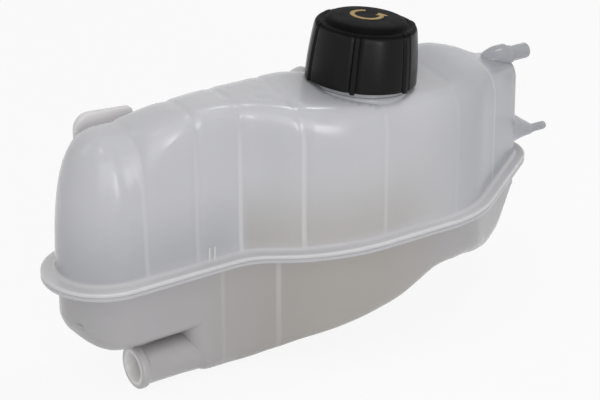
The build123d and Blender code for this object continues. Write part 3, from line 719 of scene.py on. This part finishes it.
def upper_section(x, inset=0.0):
    """Points of the upper half's outside at x, from the front flange over the roof to the back flange."""
    roof_front, roof_back, front_share, front_rise, back_share, back_rise, *leans = station_at(x)
    sides = []
    for edge, sign, roof, rise, lean in (
        (front_edge, 1, roof_front, front_rise, leans[0]),
        (back_edge, -1, roof_back, back_rise, leans[1]),
    ):
        wall = edge(x, FLANGE_WIDTH, UPPER_LEFT_X - 1) + sign * inset
        top = roof - inset
        foot = np.array([wall + sign * lean * UPPER_FOOT, UPPER_FOOT])
        corner = np.array([wall + sign * lean * top, top])
        shoulder = max(rise - inset, LEAST_SHOULDER)
        start = np.array([wall + sign * lean * (top - shoulder), top - shoulder])
        sides.append((foot, start, corner))
    across = (sides[1][2] - sides[0][2]) * min(MOST_SHOULDERS / (front_share + back_share), 1.0)
    edges = (sides[0][2] + across * front_share, sides[1][2] - across * back_share)
    middle = (edges[0] + edges[1]) / 2
    pulls = (sum((strength * bell(x - at, reach) for at, reach, strength in TIGHTER), 1), 1.0)
    halves = []
    for (foot, start, corner), edge, pull in zip(sides, edges, pulls):
        line = [foot + (start - foot) * s for s in np.linspace(0, 1, WALL_POINTS)]
        for t in np.linspace(0, 1, SHOULDER_POINTS)[1:]:
            shares = np.array([(1 - t) ** 2, 2 * pull * t * (1 - t), t * t])
            line.append(shares @ np.array([start, corner, edge]) / shares.sum())
        line += [edge + (middle - edge) * s for s in np.linspace(0, 1, ROOF_POINTS)[1:]]
        halves.append(line)
    section = halves[0] + halves[1][-2::-1]
    crest = RIDGE_HEIGHT * bell(x - RIDGE_X, RIDGE_WIDTH)
    return [(x, y, z + crest * ramp(y, *RIDGE_BACK) * ramp(z, *RIDGE_FOOT)) for y, z in section]


def upper_sheet():
    """The upper half's outside: its lofted length, its round left end and its flat right end."""
    stops = set(np.round(np.linspace(UPPER_LEFT_X, END_X - END_ROUND, LOFT_ROWS), 3))
    for rib, _ in UPPER_RIBS:
        stops = {s for s in stops if abs(s - rib) > RIB_CLEAR or s < UPPER_LEFT_X + 0.01}
        stops |= {round(rib + away, 3) for away in RIB_STOPS}
    stops = sorted(s for s in stops if s >= UPPER_LEFT_X)
    columns = [upper_section(x) for x in stops]
    for turn in np.linspace(0, pi / 2, 6)[1:]:
        inset = END_ROUND * (1 - cos(turn))
        columns.append(upper_section(END_X - END_ROUND * (1 - sin(turn)), inset))
    skin = bmesh.new()
    add_grid(skin, columns)
    arch = np.array(columns[-1])
    share = np.linspace(0, 1, len(arch))[:, None]
    sill = arch[0] + (arch[-1] - arch[0]) * share
    add_grid(skin, [[tuple(p) for p in arch + (sill - arch) * s] for s in np.linspace(0, 1, 10)])
    half = np.array(columns[0][: len(columns[0]) // 2 + 1])
    spokes = [(LEFT_CENTRE_Y - y, z) for _, y, z in half]
    fan = []
    for turn in np.linspace(0, pi, FAN_ROWS):
        fan.append([(UPPER_LEFT_X - r * sin(turn), LEFT_CENTRE_Y - r * cos(turn), z) for r, z in spokes])
    fan[-1] = columns[0][len(columns[0]) // 2:][::-1]
    add_grid(skin, fan)
    return skin


def upper_sink(point):
    """Sink lines over the upper half's inner ribs, fading out above the flange."""
    fade = min(max((point.z - UPPER_FOOT - SINK_START) / SINK_FADE, 0), 1)
    return fade * sum(depth * bell(point.x - x, SINK_WIDTH) for x, depth in UPPER_RIBS)


def upper_rib(point):
    """Depth of the ribs inside the upper half."""
    near = min(abs(point.x - x) for x, _ in UPPER_RIBS)
    return RIB_DEPTH if near < RIB_HALF and point.z > UPPER_FOOT + RIB_LIFT else 0.0


def wire_tree():
    """The tree that winds a round wire into a coil with closed ends, for threads and springs."""
    tree = bpy.data.node_groups.new("wound_wire", "GeometryNodeTree")
    sizes = (("Turns", 3.0), ("Radius", 0.01), ("Wire", 0.001), ("Rise", 0.01), ("Closed", 0.0))
    for name, value in sizes:
        socket = tree.interface.new_socket(name, in_out="INPUT", socket_type="NodeSocketFloat")
        socket.default_value = value
    tree.interface.new_socket("Finish", in_out="INPUT", socket_type="NodeSocketMaterial")
    tree.interface.new_socket("Geometry", in_out="OUTPUT", socket_type="NodeSocketGeometry")
    add = tree.nodes.new
    link = tree.links.new
    given = add("NodeGroupInput").outputs
    spiral = add("GeometryNodeCurveSpiral")
    spiral.inputs["Resolution"].default_value = 40
    spiral.inputs["Height"].default_value = 0.0
    link(given["Turns"], spiral.inputs["Rotations"])
    link(given["Radius"], spiral.inputs["Start Radius"])
    link(given["Radius"], spiral.inputs["End Radius"])
    turn = worked_out(tree, "MULTIPLY", add("GeometryNodeSplineParameter").outputs["Factor"], given["Turns"])
    last = worked_out(tree, "SUBTRACT", given["Turns"], given["Closed"])
    dead_rise = worked_out(tree, "MULTIPLY", given["Wire"], worked_out(tree, "MINIMUM", given["Closed"], 1.0))
    live_rise = worked_out(tree, "SUBTRACT", given["Rise"], worked_out(tree, "MULTIPLY", dead_rise, 2.0))
    height = 0.0
    stretches = (
        (0.0, given["Closed"], dead_rise),
        (given["Closed"], last, live_rise),
        (last, given["Turns"], dead_rise),
    )
    for start, end, rise in stretches:
        share = spread(tree, turn, 0.0, 1.0, start, end)
        height = worked_out(tree, "ADD", height, worked_out(tree, "MULTIPLY", share, rise))
    lift = add("ShaderNodeCombineXYZ")
    link(height, lift.inputs["Z"])
    climb = add("GeometryNodeSetPosition")
    link(spiral.outputs["Curve"], climb.inputs["Geometry"])
    link(lift.outputs["Vector"], climb.inputs["Offset"])
    section = add("GeometryNodeCurvePrimitiveCircle")
    section.inputs["Resolution"].default_value = 12
    link(worked_out(tree, "MULTIPLY", given["Wire"], 0.5), section.inputs["Radius"])
    wire = add("GeometryNodeCurveToMesh")
    wire.inputs["Fill Caps"].default_value = True
    link(climb.outputs["Geometry"], wire.inputs["Curve"])
    link(section.outputs["Curve"], wire.inputs["Profile Curve"])
    real = add("GeometryNodeRealizeInstances")
    link(wire.outputs["Mesh"], real.inputs["Geometry"])
    paint = add("GeometryNodeSetMaterial")
    link(real.outputs["Geometry"], paint.inputs["Geometry"])
    link(given["Finish"], paint.inputs["Material"])
    link(paint.outputs["Geometry"], add("NodeGroupOutput").inputs["Geometry"])
    return tree


WIRE_TREE = wire_tree()
WIRE_SEAM = 0.001             # points of a wire closer than this are one point


def wound(name, place, finish, turns, radius, wire, rise, closed):
    """One coil of wire from the tree, as a plain mesh set in place; sizes in millimetres."""
    seed = placed(name + "_seed", bpy.data.meshes.new(name + "_seed"))
    winding = seed.modifiers.new("winding", "NODES")
    winding.node_group = WIRE_TREE
    sizes = {"Turns": turns, "Radius": radius * MM, "Wire": wire * MM, "Rise": rise * MM}
    sizes |= {"Closed": closed, "Finish": finish}
    for item in WIRE_TREE.interface.items_tree:
        if item.in_out == "INPUT":
            winding[item.identifier] = sizes[item.name]
    graph = bpy.context.evaluated_depsgraph_get()
    mesh = bpy.data.meshes.new_from_object(seed.evaluated_get(graph))
    bpy.data.objects.remove(seed)
    skin = bmesh.new()
    skin.from_mesh(mesh)
    bpy.data.meshes.remove(mesh)
    bmesh.ops.remove_doubles(skin, verts=skin.verts, dist=WIRE_SEAM * MM)
    bmesh.ops.transform(skin, matrix=place, verts=skin.verts)
    return piece_from(skin, name)


upper_finish = tank_finish("upper_polypropylene", MILKY, UPPER_STRIPES)
upper_half, upper_core = half_shell(upper_sheet(), 1, "tank_upper_half", upper_sink, upper_rib)
NECK_BORE = 16.8
THREAD_TURNS = 2.0
THREAD_PITCH = 6.0
NECK_LINE = [
    (0, -14.0), (21.0, -14.0), (24.0, -7.0), (25.6, -2.0), (25.9, 0.0), (25.9, 1.6), (25.5, 2.6),
    (25.2, 2.9), (24.5, 3.0), (24.4, 3.3), (24.4, 4.6), (24.1, 5.0), (20.6, 5.0), (19.9, 5.6),
    (19.8, 6.4), (19.8, 23.2), (19.5, 23.8), (18.9, 24.0), (0, 24.0),
]
NECK_BORE_LINE = [(0, -30.0), (NECK_BORE, -30.0), (NECK_BORE, 23.4), (NECK_BORE + 0.9, 24.6), (0, 24.6)]
to_neck = axis_at(NECK_FOOT, NECK_LEAN)


def thread(name, finish, start, radius, wire):
    """A thread that climbs round the neck's axis from a height above its foot."""
    place = to_neck @ Matrix.Translation((0, 0, start * MM))
    return wound(name, place, finish, THREAD_TURNS, radius, wire, THREAD_TURNS * THREAD_PITCH, 0.0)


neck = turned(NECK_LINE, "neck", to_neck, 96)
neck_thread = thread("neck_thread", upper_finish, start=8.5, radius=19.8, wire=2.4)
neck_bore = turned(NECK_BORE_LINE, "neck_bore", to_neck, 96)
FITTING_Y = 47.8
NIPPLE_Z = 59.8
NIPPLE_LINE = [
    (0, 146.0), (2.5, 148.0), (5.0, 153.0), (6.1, 157.0), (6.5, 159.5), (6.5, 165.0), (6.2, 165.8),
    (5.4, 166.2), (5.0, 167.0), (4.9, 169.0), (4.5, 169.5), (4.25, 170.2), (4.25, 179.6), (4.0, 180.3),
    (3.5, 180.6), (0, 180.6),
]
NIPPLE_BORE_LINE = [(0, 136.0), (2.2, 136.0), (2.2, 180.2), (2.7, 181.2), (0, 181.2)]
to_nipple = axis_at((0, FITTING_Y, NIPPLE_Z), pi / 2)
nipple = turned(NIPPLE_LINE, "nipple", to_nipple, 40)
nipple_bore = turned(NIPPLE_BORE_LINE, "nipple_bore", to_nipple, 32)
PEG_RINGS = [
    # x, middle's height and radius
    (158.0, 20.1, 15.4), (164.0, 18.4, 12.2), (170.0, 16.7, 9.3), (176.0, 14.9, 6.8), (181.0, 13.3, 4.9),
    (184.5, 12.1, 3.7), (186.6, 11.6, 2.8), (188.2, 11.5, 2.4), (190.0, 11.5, 2.3), (195.6, 11.5, 2.3),
    (196.5, 11.5, 1.9), (197.0, 11.5, 1.2),
]
TONGUE_LINE = [
    (-76.0, 48.0, 0), (-60.5, 48.0, 0.5), (-60.5, 77.2, 2.5),
    (-92.5, 79.7, 8.0), (-92.5, 48.0, 8.0), (-76.0, 48.0, 0),
]
TONGUE_LAYERS = ((57.6, 0.8), (57.8, 0.3), (58.3, 0.0), (60.9, 0.0), (61.4, 0.3), (61.6, 0.8))
TICKS = (-43.4, -40.4)
TICK_SIZE = (1.1, 2.4, 8.6)
TICK_Y = 16.8
TICK_Z = 8.2
TICK_ROUND = 0.25


def stacked(layers, name):
    """A closed solid through layers of points, all with the same number of points."""
    skin = bmesh.new()
    ring = new_points(skin, layers[0])
    skin.faces.new(ring)
    for layer in layers[1:]:
        ring = ring_on(skin, ring, layer)
    skin.faces.new(ring)
    return piece_from(skin, name)


def peg_solid():
    """The locating peg: a cone that leans down into a thin round pin."""
    layers = [[(x, FITTING_Y + r * cos(a), z + r * sin(a)) for a in all_round(40)] for x, z, r in PEG_RINGS]
    return stacked(layers, "peg")


def tongue_solid():
    """The mounting tongue: a flat tab with rounded corners, thinned towards its edge."""
    outline = rounded_line(TONGUE_LINE, 7)[:-1]
    away = outline - outline.mean(axis=0)
    away /= np.linalg.norm(away, axis=1)[:, None]
    layers = [[(x, y, z) for x, z in outline - away * shrink] for y, shrink in TONGUE_LAYERS]
    return stacked(layers, "tongue")


def level_tick(x):
    """A short upright bar on the front wall, one of a pair just above the flange."""
    skin = bmesh.new()
    bmesh.ops.create_cube(skin, size=1.0)
    bmesh.ops.scale(skin, vec=Vector(TICK_SIZE) * MM, verts=skin.verts)
    bmesh.ops.translate(skin, vec=Vector((x, TICK_Y, TICK_Z)) * MM, verts=skin.verts)
    bmesh.ops.bevel(skin, geom=skin.edges, offset=TICK_ROUND * MM, segments=2, profile=0.5, affect="EDGES")
    return piece_from(skin, "level_tick")


ROOF_UP = Vector((0.09, -0.085, 0.99)).normalized()    # square to the roof beside the neck


def roof_dimple(x, y, radius, depth):
    """A ball that presses a shallow round dimple into the roof at x, y."""
    _, across, up = np.array(upper_section(x)).T
    on_roof = up > 60
    roof = Vector((x, y, np.interp(y, across[on_roof], up[on_roof])))
    ball = (radius ** 2 + depth ** 2) / (2 * depth)
    skin = bmesh.new()
    bmesh.ops.create_uvsphere(skin, u_segments=128, v_segments=96, radius=ball * MM)
    middle = roof + ROOF_UP * (ball - depth)
    bmesh.ops.translate(skin, vec=middle * MM, verts=skin.verts)
    return piece_from(skin, "roof_dimple")


fittings = (neck, neck_thread, nipple, peg_solid(), tongue_solid(), *map(level_tick, TICKS))
dimple = roof_dimple(x=-8.6, y=21.8, radius=5.2, depth=0.8)
moulded(upper_half, fittings, (dimple, upper_core, neck_bore, nipple_bore))
along_x, across_y, at_z = points_of(upper_half).T
off_flange = ramp(at_z, WELD_Z + FLANGE, WELD_Z + FLANGE + 3)
carry(upper_half, "rib", off_flange * (1 - ramp(at_z, 62, 80)))
off_tick = np.abs(along_x[:, None] - TICKS).min(axis=1)
on_tick = (off_tick < 0.7) & (across_y < 16.0) & (at_z < 13.0) & (at_z > 4.5)
# Painted light: the tongue is painted paler, standing for light shining through it from behind.
backlit_tongue = ramp(at_z, 66, 70) * (across_y > 57.0) * (across_y < 62.0) * (along_x < -60.0)
carry(upper_half, "thick_and_backlit", np.maximum.reduce([0.60 * (1 - off_flange), 0.7 * on_tick, backlit_tongue]))
mid_length = ramp(along_x, -27, -20) * ramp(-along_x, -92, -50)
# Browner and darker towards the bottom of the middle panels.
carry(upper_half, "brown_low", 0.50 * ramp(-at_z, -50, -10) * mid_length * off_flange)
low_shade = 0.55 * ramp(-at_z, -48, -8) * ramp(-along_x, 0, 40) * off_flange
near_neck = np.hypot(along_x - NECK_FOOT[0], across_y - NECK_FOOT[1]) < COLLAR_REACH
collar_shade = 0.7 * near_neck * ramp(at_z, NECK_FOOT[2] - 4, NECK_FOOT[2] + 2)
carry(upper_half, "shade", np.clip(low_shade + collar_shade + ramp(along_x, 65, 140), 0, 1))
dress(upper_half, upper_finish, "tank")
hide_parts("upper_half")

# Cap insert: a pot and a retainer moulded in dark nylon and snapped together, with their rubber rings.
# The pressure plate and the vacuum poppet in it are turned brass, and a steel clip holds the poppet.
# These plain turned shapes are the real ones, so they keep their solids and take their finishes here.


def dark_plastic(name, colour, low, high, pits):
    """A dark moulded plastic with a fine spark-eroded texture."""
    finish, tree, shader, place = new_finish(name)
    cloud = spread(tree, grain(tree, place, 40.0), 0.0, 0.5)
    paler = tuple(1.5 * c for c in colour)
    tree.links.new(tinted(tree, cloud, colour, paler), shader.inputs["Base Color"])
    tree.links.new(spread(tree, grain(tree, place, 120.0), low, high), shader.inputs["Roughness"])
    relief(tree, shader, [(grain(tree, place, 1400.0, 2.0), pits, 0.0002)])
    return finish, shader


def metal(name, colour, low, high, stretch):
    """A drawn or turned metal, with fine lines along its making."""
    finish, tree, shader, place = new_finish(name)
    lines = grain(tree, place, 900.0, 2.0, stretch)
    dull = tuple(0.7 * c for c in colour)
    tree.links.new(tinted(tree, spread(tree, lines, 0, 0.4), colour, dull), shader.inputs["Base Color"])
    tree.links.new(spread(tree, lines, low, high), shader.inputs["Roughness"])
    shader.inputs["Metallic"].default_value = 1.0
    relief(tree, shader, [(lines, 0.08, 0.0001)])
    return finish


nylon, _ = dark_plastic("valve_nylon", (0.045, 0.045, 0.05), 0.38, 0.55, 0.15)
rubber, rubber_shader = dark_plastic("seal_rubber", (0.018, 0.018, 0.018), 0.62, 0.8, 0.25)
rubber_shader.inputs["Specular IOR Level"].default_value = 0.3
brass = metal("valve_brass", (0.72, 0.52, 0.22), 0.22, 0.36, (1, 1, 6))
steel = metal("spring_wire", (0.58, 0.58, 0.60), 0.2, 0.34, (1, 1, 1))
for node, finish in (
    ("valve_pot", nylon), ("spring_retainer", nylon), ("pot_o_ring", rubber), ("valve_seal", rubber),
    ("pressure_valve_plate", brass), ("vacuum_poppet", brass), ("vacuum_clip", steel),
):
    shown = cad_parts[node].data
    shown.materials.clear()
    shown.materials.append(finish)

# Valve springs: the pressure spring between the plate and the retainer, and the vacuum spring on the stem.
# Each is wound from round steel wire with its end turns closed.
AXIS = Vector((sin(NECK_LEAN), 0, cos(NECK_LEAN)))


def valve_spring(node, turns, radius, wire, foot, height, body):
    """One spring wound round the neck's axis, in the place of its CAD node."""
    place = to_neck @ Matrix.Translation((0, 0, (foot + wire / 2) * MM))
    spring = wound("round_wire_" + node, place, steel, turns, radius, wire, height - wire, 1.0)
    dress(spring, steel, body)
    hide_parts(node)
    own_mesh(spring)


valve_spring(
    "pressure_spring", turns=5.0, radius=6.4, wire=1.2, foot=9.4, height=12.6,
    body="cap_insert",
)
valve_spring(
    "vacuum_spring", turns=4.5, radius=2.4, wire=0.5, foot=10.6, height=4.0,
    body="pressure_valve",
)

# Cap: the screw cap's outer knob, moulded in black plastic with six flat grips between narrow ribs.
# Its crown is matt, its inner ring turns on the pot, and its bore carries the thread.
CAP_GRIPS = 6
CAP_TURN = radians(46.0)
CAP_SIDES = 360
CROWN_HEIGHT = 33.4           # the matt crown begins here
CAP_BLACK = (0.0035, 0.0035, 0.0037)
CAP_TOP_LINE = [
    (0, 37.9), (3, 37.89), (6, 37.86), (9, 37.82), (12, 37.76), (15, 37.66), (17, 37.52), (18.6, 37.3),
    (19.6, 36.9), (20.1, 36.3), (20.35, 35.6), (20.5, 35.0), (20.8, 34.5), (21.4, 34.3), (22.2, 34.4),
    (23.0, 34.7), (23.9, 34.9), (24.7, 34.8), (25.4, 34.4), (26.0, 33.8), (26.4, 33.0), (26.68, 32.0),
]
CAP_FLARE = 2.26              # by which the skirt widens on its way down
CAP_BARREL = 1.6
CAP_SKIRT = 25.8              # the skirt's height
SKIRT_TOP = CAP_TOP_LINE[-1]
SKIRT_DOWN = np.linspace(0, 1, 26)[1:]
CAP_SIDE_LINE = [
    (SKIRT_TOP[0] + (CAP_FLARE + CAP_BARREL * (1 - s)) * s, SKIRT_TOP[1] - CAP_SKIRT * s) for s in SKIRT_DOWN
]
CAP_INSIDE_LINE = [
    (28.8, 5.8), (28.4, 5.6), (22.3, 5.6), (21.9, 5.8), (21.8, 6.2), (21.8, 28.4), (21.4, 29.0), (19.4, 29.0),
    (19.4, 26.3), (15.9, 26.3), (15.9, 27.45), (16.5, 27.45), (16.5, 29.0), (0, 29.0),
]
GRIP_START = 22.8             # radius at which the grips begin, and the run over which they deepen
GRIP_RUN = 3.0
GRIP_HOLLOW = (0.25, 0.35)    # at a grip's edge, and what its middle adds
GRIP_REACH = 27.0             # degrees from a grip's middle to its edge
GROOVE_DEPTH = 0.7
GROOVE_AT = 4.4               # degrees from the middle of a rib
GROOVE_WIDTH = 1.3
RIB_TOP = 2.0                 # degrees from a rib's middle to the edge of its top, and to its foot
RIB_FOOT = 3.2
RIB_PROUD = 0.3
RIB_DROP = 0.7                # of a rib's foot below the skirt


def cap_skin():
    """The knob as rings from the middle of its top, down its grips and up its bore."""
    skin = bmesh.new()
    around = all_round(CAP_SIDES)
    pitch = 2 * pi / CAP_GRIPS
    off = np.degrees(np.abs((around - CAP_TURN + pitch / 2) % pitch - pitch / 2))
    rib = ramp(-off, -RIB_FOOT, -RIB_TOP)
    off_grip = np.degrees(pitch / 2) - off
    grip = GRIP_HOLLOW[0] + GRIP_HOLLOW[1] * np.clip(1 - (off_grip / GRIP_REACH) ** 2, 0, 1)
    hollow = (grip + GROOVE_DEPTH * bell(off - GROOVE_AT, GROOVE_WIDTH)) * (1 - rib) - RIB_PROUD * rib
    rings = []
    outside = len(CAP_TOP_LINE) + len(CAP_SIDE_LINE) + 2
    for k, (radius, height) in enumerate(CAP_TOP_LINE + CAP_SIDE_LINE + CAP_INSIDE_LINE):
        if not radius:
            rings.append(new_points(skin, [(0, 0, height)]))
            continue
        share = np.clip((radius - GRIP_START) / GRIP_RUN, 0, 1) if k < outside else 0.0
        reach = radius - hollow * share
        heights = height - RIB_DROP * rib * (outside - 3 <= k < outside)
        rings.append(new_points(skin, zip(reach * np.cos(around), reach * np.sin(around), heights)))
    bridge_rings(skin, rings, CAP_SIDES)
    bmesh.ops.transform(skin, matrix=to_neck, verts=skin.verts)
    return skin


cap_black, cap_shader = dark_plastic("cap_black_plastic", CAP_BLACK, 0.25, 0.33, 0.12)
cap_shader.inputs["Specular IOR Level"].default_value = 0.16
crown_black, crown_shader = dark_plastic("cap_crown_plastic", CAP_BLACK, 0.55, 0.65, 0.12)
crown_shader.inputs["Specular IOR Level"].default_value = 0.05
cap_knob = piece_from(cap_skin(), "screw_cap_knob")
moulded(cap_knob, [thread("cap_thread", cap_black, start=11.5, radius=21.9, wire=2.0)], [])
dress(cap_knob, cap_black, "cap_knob", 40.0)
cap_knob.data.materials.append(crown_black)
for face in cap_knob.data.polygons:
    height = (face.center / MM - Vector(NECK_FOOT)).dot(AXIS)
    face.material_index = int(height > CROWN_HEIGHT)
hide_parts("cap_knob")

# Turn arrow: the plain yellow ring arrow printed on the cap's crown, a little worn.
# It is a film that follows the crown.
ARROW_PLACE = (1.4, 2.0)      # set back a little from the middle of the crown
ARROW_RADIUS = 7.4
ARROW_HALF = 1.2
ARROW_START = radians(60.0)
ARROW_END = radians(330.0)
HEAD_HALF = 3.4
HEAD_TURN = radians(34.0)
FILM = (0.06, -0.3)           # the print's face above the crown, and its back inside it


def turn_arrow():
    """The ring arrow's skin: a band round most of a circle, then a head that narrows to its tip."""
    radii, heights = zip(*CAP_TOP_LINE)
    skin = bmesh.new()

    def spot(radius, turn, lift):
        x = radius * cos(turn) + ARROW_PLACE[0]
        y = radius * sin(turn) + ARROW_PLACE[1]
        return x, y, np.interp(np.hypot(x, y), radii, heights) + lift

    band_turns = np.linspace(ARROW_START, ARROW_END, 73)
    head_turns = np.linspace(ARROW_END, ARROW_END + HEAD_TURN, 9)[1:]
    turns = np.concatenate([band_turns, [ARROW_END + 0.001], head_turns])
    head_halves = HEAD_HALF * np.linspace(1, 0.02, 9)
    halves = np.concatenate([np.full(len(band_turns), ARROW_HALF), head_halves])
    rows = []
    for turn, half in zip(turns, halves):
        across = np.linspace(ARROW_RADIUS - half, ARROW_RADIUS + half, 4)
        face = [spot(r, turn, FILM[0]) for r in across]
        back = [spot(r, turn, FILM[1]) for r in across[::-1]]
        rows.append(new_points(skin, face + back))
    bridge_rings(skin, rows, len(rows[0]))
    skin.faces.new(rows[0])
    skin.faces.new(rows[-1])
    bmesh.ops.transform(skin, matrix=to_neck, verts=skin.verts)
    return skin


PRINT_YELLOW = (0.42, 0.27, 0.05)
WORN_YELLOW = (0.20, 0.13, 0.03)
print_finish, print_tree, print_shader, print_place = new_finish("yellow_print")
worn = spread(print_tree, grain(print_tree, print_place, 500.0, 4.0), 0.0, 0.6, 0.35, 0.75)
print_tree.links.new(tinted(print_tree, worn, PRINT_YELLOW, WORN_YELLOW), print_shader.inputs["Base Color"])
print_tree.links.new(spread(print_tree, worn, 0.45, 0.6, 0.0, 0.6), print_shader.inputs["Roughness"])
arrow = piece_from(turn_arrow(), "cap_turn_arrow")
dress(arrow, print_finish, "cap_knob")

# Studio: a pale floor under the tank, a white surround, and soft lamps above and in front.
# The camera stands where the photograph's did.
FLOOR_Z = -60.0
FLOOR_WHITE = 0.90            # share of plain white; the rest takes the shadow
FLOOR_PAINT = (0.80, 0.80, 0.80, 1)
CAMERA_PLACE = (-494.0, -745.8, 450.6)
CAMERA_RIGHT = Vector((0.8339, -0.5519, 0.0))
CAMERA_BACK = Vector((-0.5002, -0.7558, 0.4226))
LENS = 120.0
SENSOR = 36.0


def seen_white(tree):
    """1 for the rays that show the surround: camera, glossy and transmission rays."""
    path = tree.nodes.new("ShaderNodeLightPath").outputs
    seen = worked_out(tree, "MAXIMUM", path["Is Camera Ray"], path["Is Glossy Ray"])
    return worked_out(tree, "MAXIMUM", seen, path["Is Transmission Ray"])


floor_skin = bmesh.new()
floor_level = Matrix.Translation((0, 0, FLOOR_Z * MM))
bmesh.ops.create_grid(floor_skin, x_segments=2, y_segments=2, size=6.0, matrix=floor_level)
floor_mesh = bpy.data.meshes.new("studio_floor")
floor_skin.to_mesh(floor_mesh)
floor_skin.free()
floor = placed("studio_floor", floor_mesh)
floor_finish = bpy.data.materials.new("pale_floor")
floor_finish.use_nodes = True
floor_tree = floor_finish.node_tree
floor_tree.nodes.clear()
floor_end = floor_tree.nodes.new("ShaderNodeOutputMaterial")
floor_mix = floor_tree.nodes.new("ShaderNodeMixShader")
floor_paint = floor_tree.nodes.new("ShaderNodeBsdfDiffuse")
floor_paint.inputs["Color"].default_value = FLOOR_PAINT
floor_glow = floor_tree.nodes.new("ShaderNodeEmission")
floor_glow.inputs["Strength"].default_value = 1.0
floor_share = worked_out(floor_tree, "MULTIPLY", seen_white(floor_tree), FLOOR_WHITE)
floor_tree.links.new(floor_share, floor_mix.inputs["Fac"])
floor_tree.links.new(floor_paint.outputs[0], floor_mix.inputs[1])
floor_tree.links.new(floor_glow.outputs[0], floor_mix.inputs[2])
floor_tree.links.new(floor_mix.outputs[0], floor_end.inputs["Surface"])
floor_mesh.materials.append(floor_finish)

world = bpy.data.worlds.new("white_surround")
bpy.context.scene.world = world
world.use_nodes = True
sky = world.node_tree
sky.nodes.clear()
sky_end = sky.nodes.new("ShaderNodeOutputWorld")
sky_glow = sky.nodes.new("ShaderNodeBackground")
sky_glow.inputs["Color"].default_value = (1.0, 1.0, 1.0, 1)
sky.links.new(spread(sky, seen_white(sky), 0.50, 1.0, 0.0, 1.0), sky_glow.inputs["Strength"])
sky.links.new(sky_glow.outputs[0], sky_end.inputs["Surface"])


def lamp(name, place, aim, size, power):
    """A soft lamp of one width and height, turned towards a point; all in metres and watts."""
    light = bpy.data.lights.new(name, "AREA")
    light.shape = "RECTANGLE"
    light.size, light.size_y = size
    light.energy = power
    shine = placed(name, light)
    way = Vector(place) - Vector(aim)
    shine.matrix_world = Matrix.Translation(place) @ way.to_track_quat("Z", "Y").to_matrix().to_4x4()


lamp("front_fill", (-0.60, -1.55, 0.60), (0, 0.02, 0.02), (1.4, 1.0), 6.0)
lamp("front_strip", (0.02, -1.25, 0.22), (0.05, 0.02, 0.06), (0.18, 0.40), 1.6)
lamp("left_front", (-0.45, -0.50, 1.10), (-0.06, 0.02, 0.05), (0.26, 0.30), 0.8)
lamp("left_back", (-0.90, 0.32, 0.90), (-0.06, 0.02, 0.05), (0.24, 0.50), 0.7)
lamp("right_top", (0.62, 0.05, 1.12), (0, 0.02, 0.05), (0.12, 0.40), 1.8)

camera = placed("camera", bpy.data.cameras.new("camera"))
camera.data.sensor_fit = "HORIZONTAL"
camera.data.sensor_width = SENSOR
camera.data.lens = LENS
camera.data.clip_end = 50.0
camera_up = CAMERA_BACK.cross(CAMERA_RIGHT)
camera_turn = Matrix((CAMERA_RIGHT, camera_up, CAMERA_BACK)).transposed().to_4x4()
camera.matrix_world = Matrix.Translation(Vector(CAMERA_PLACE) * MM) @ camera_turn
bpy.context.scene.camera = camera
bpy.context.scene.view_settings.view_transform = "Standard"
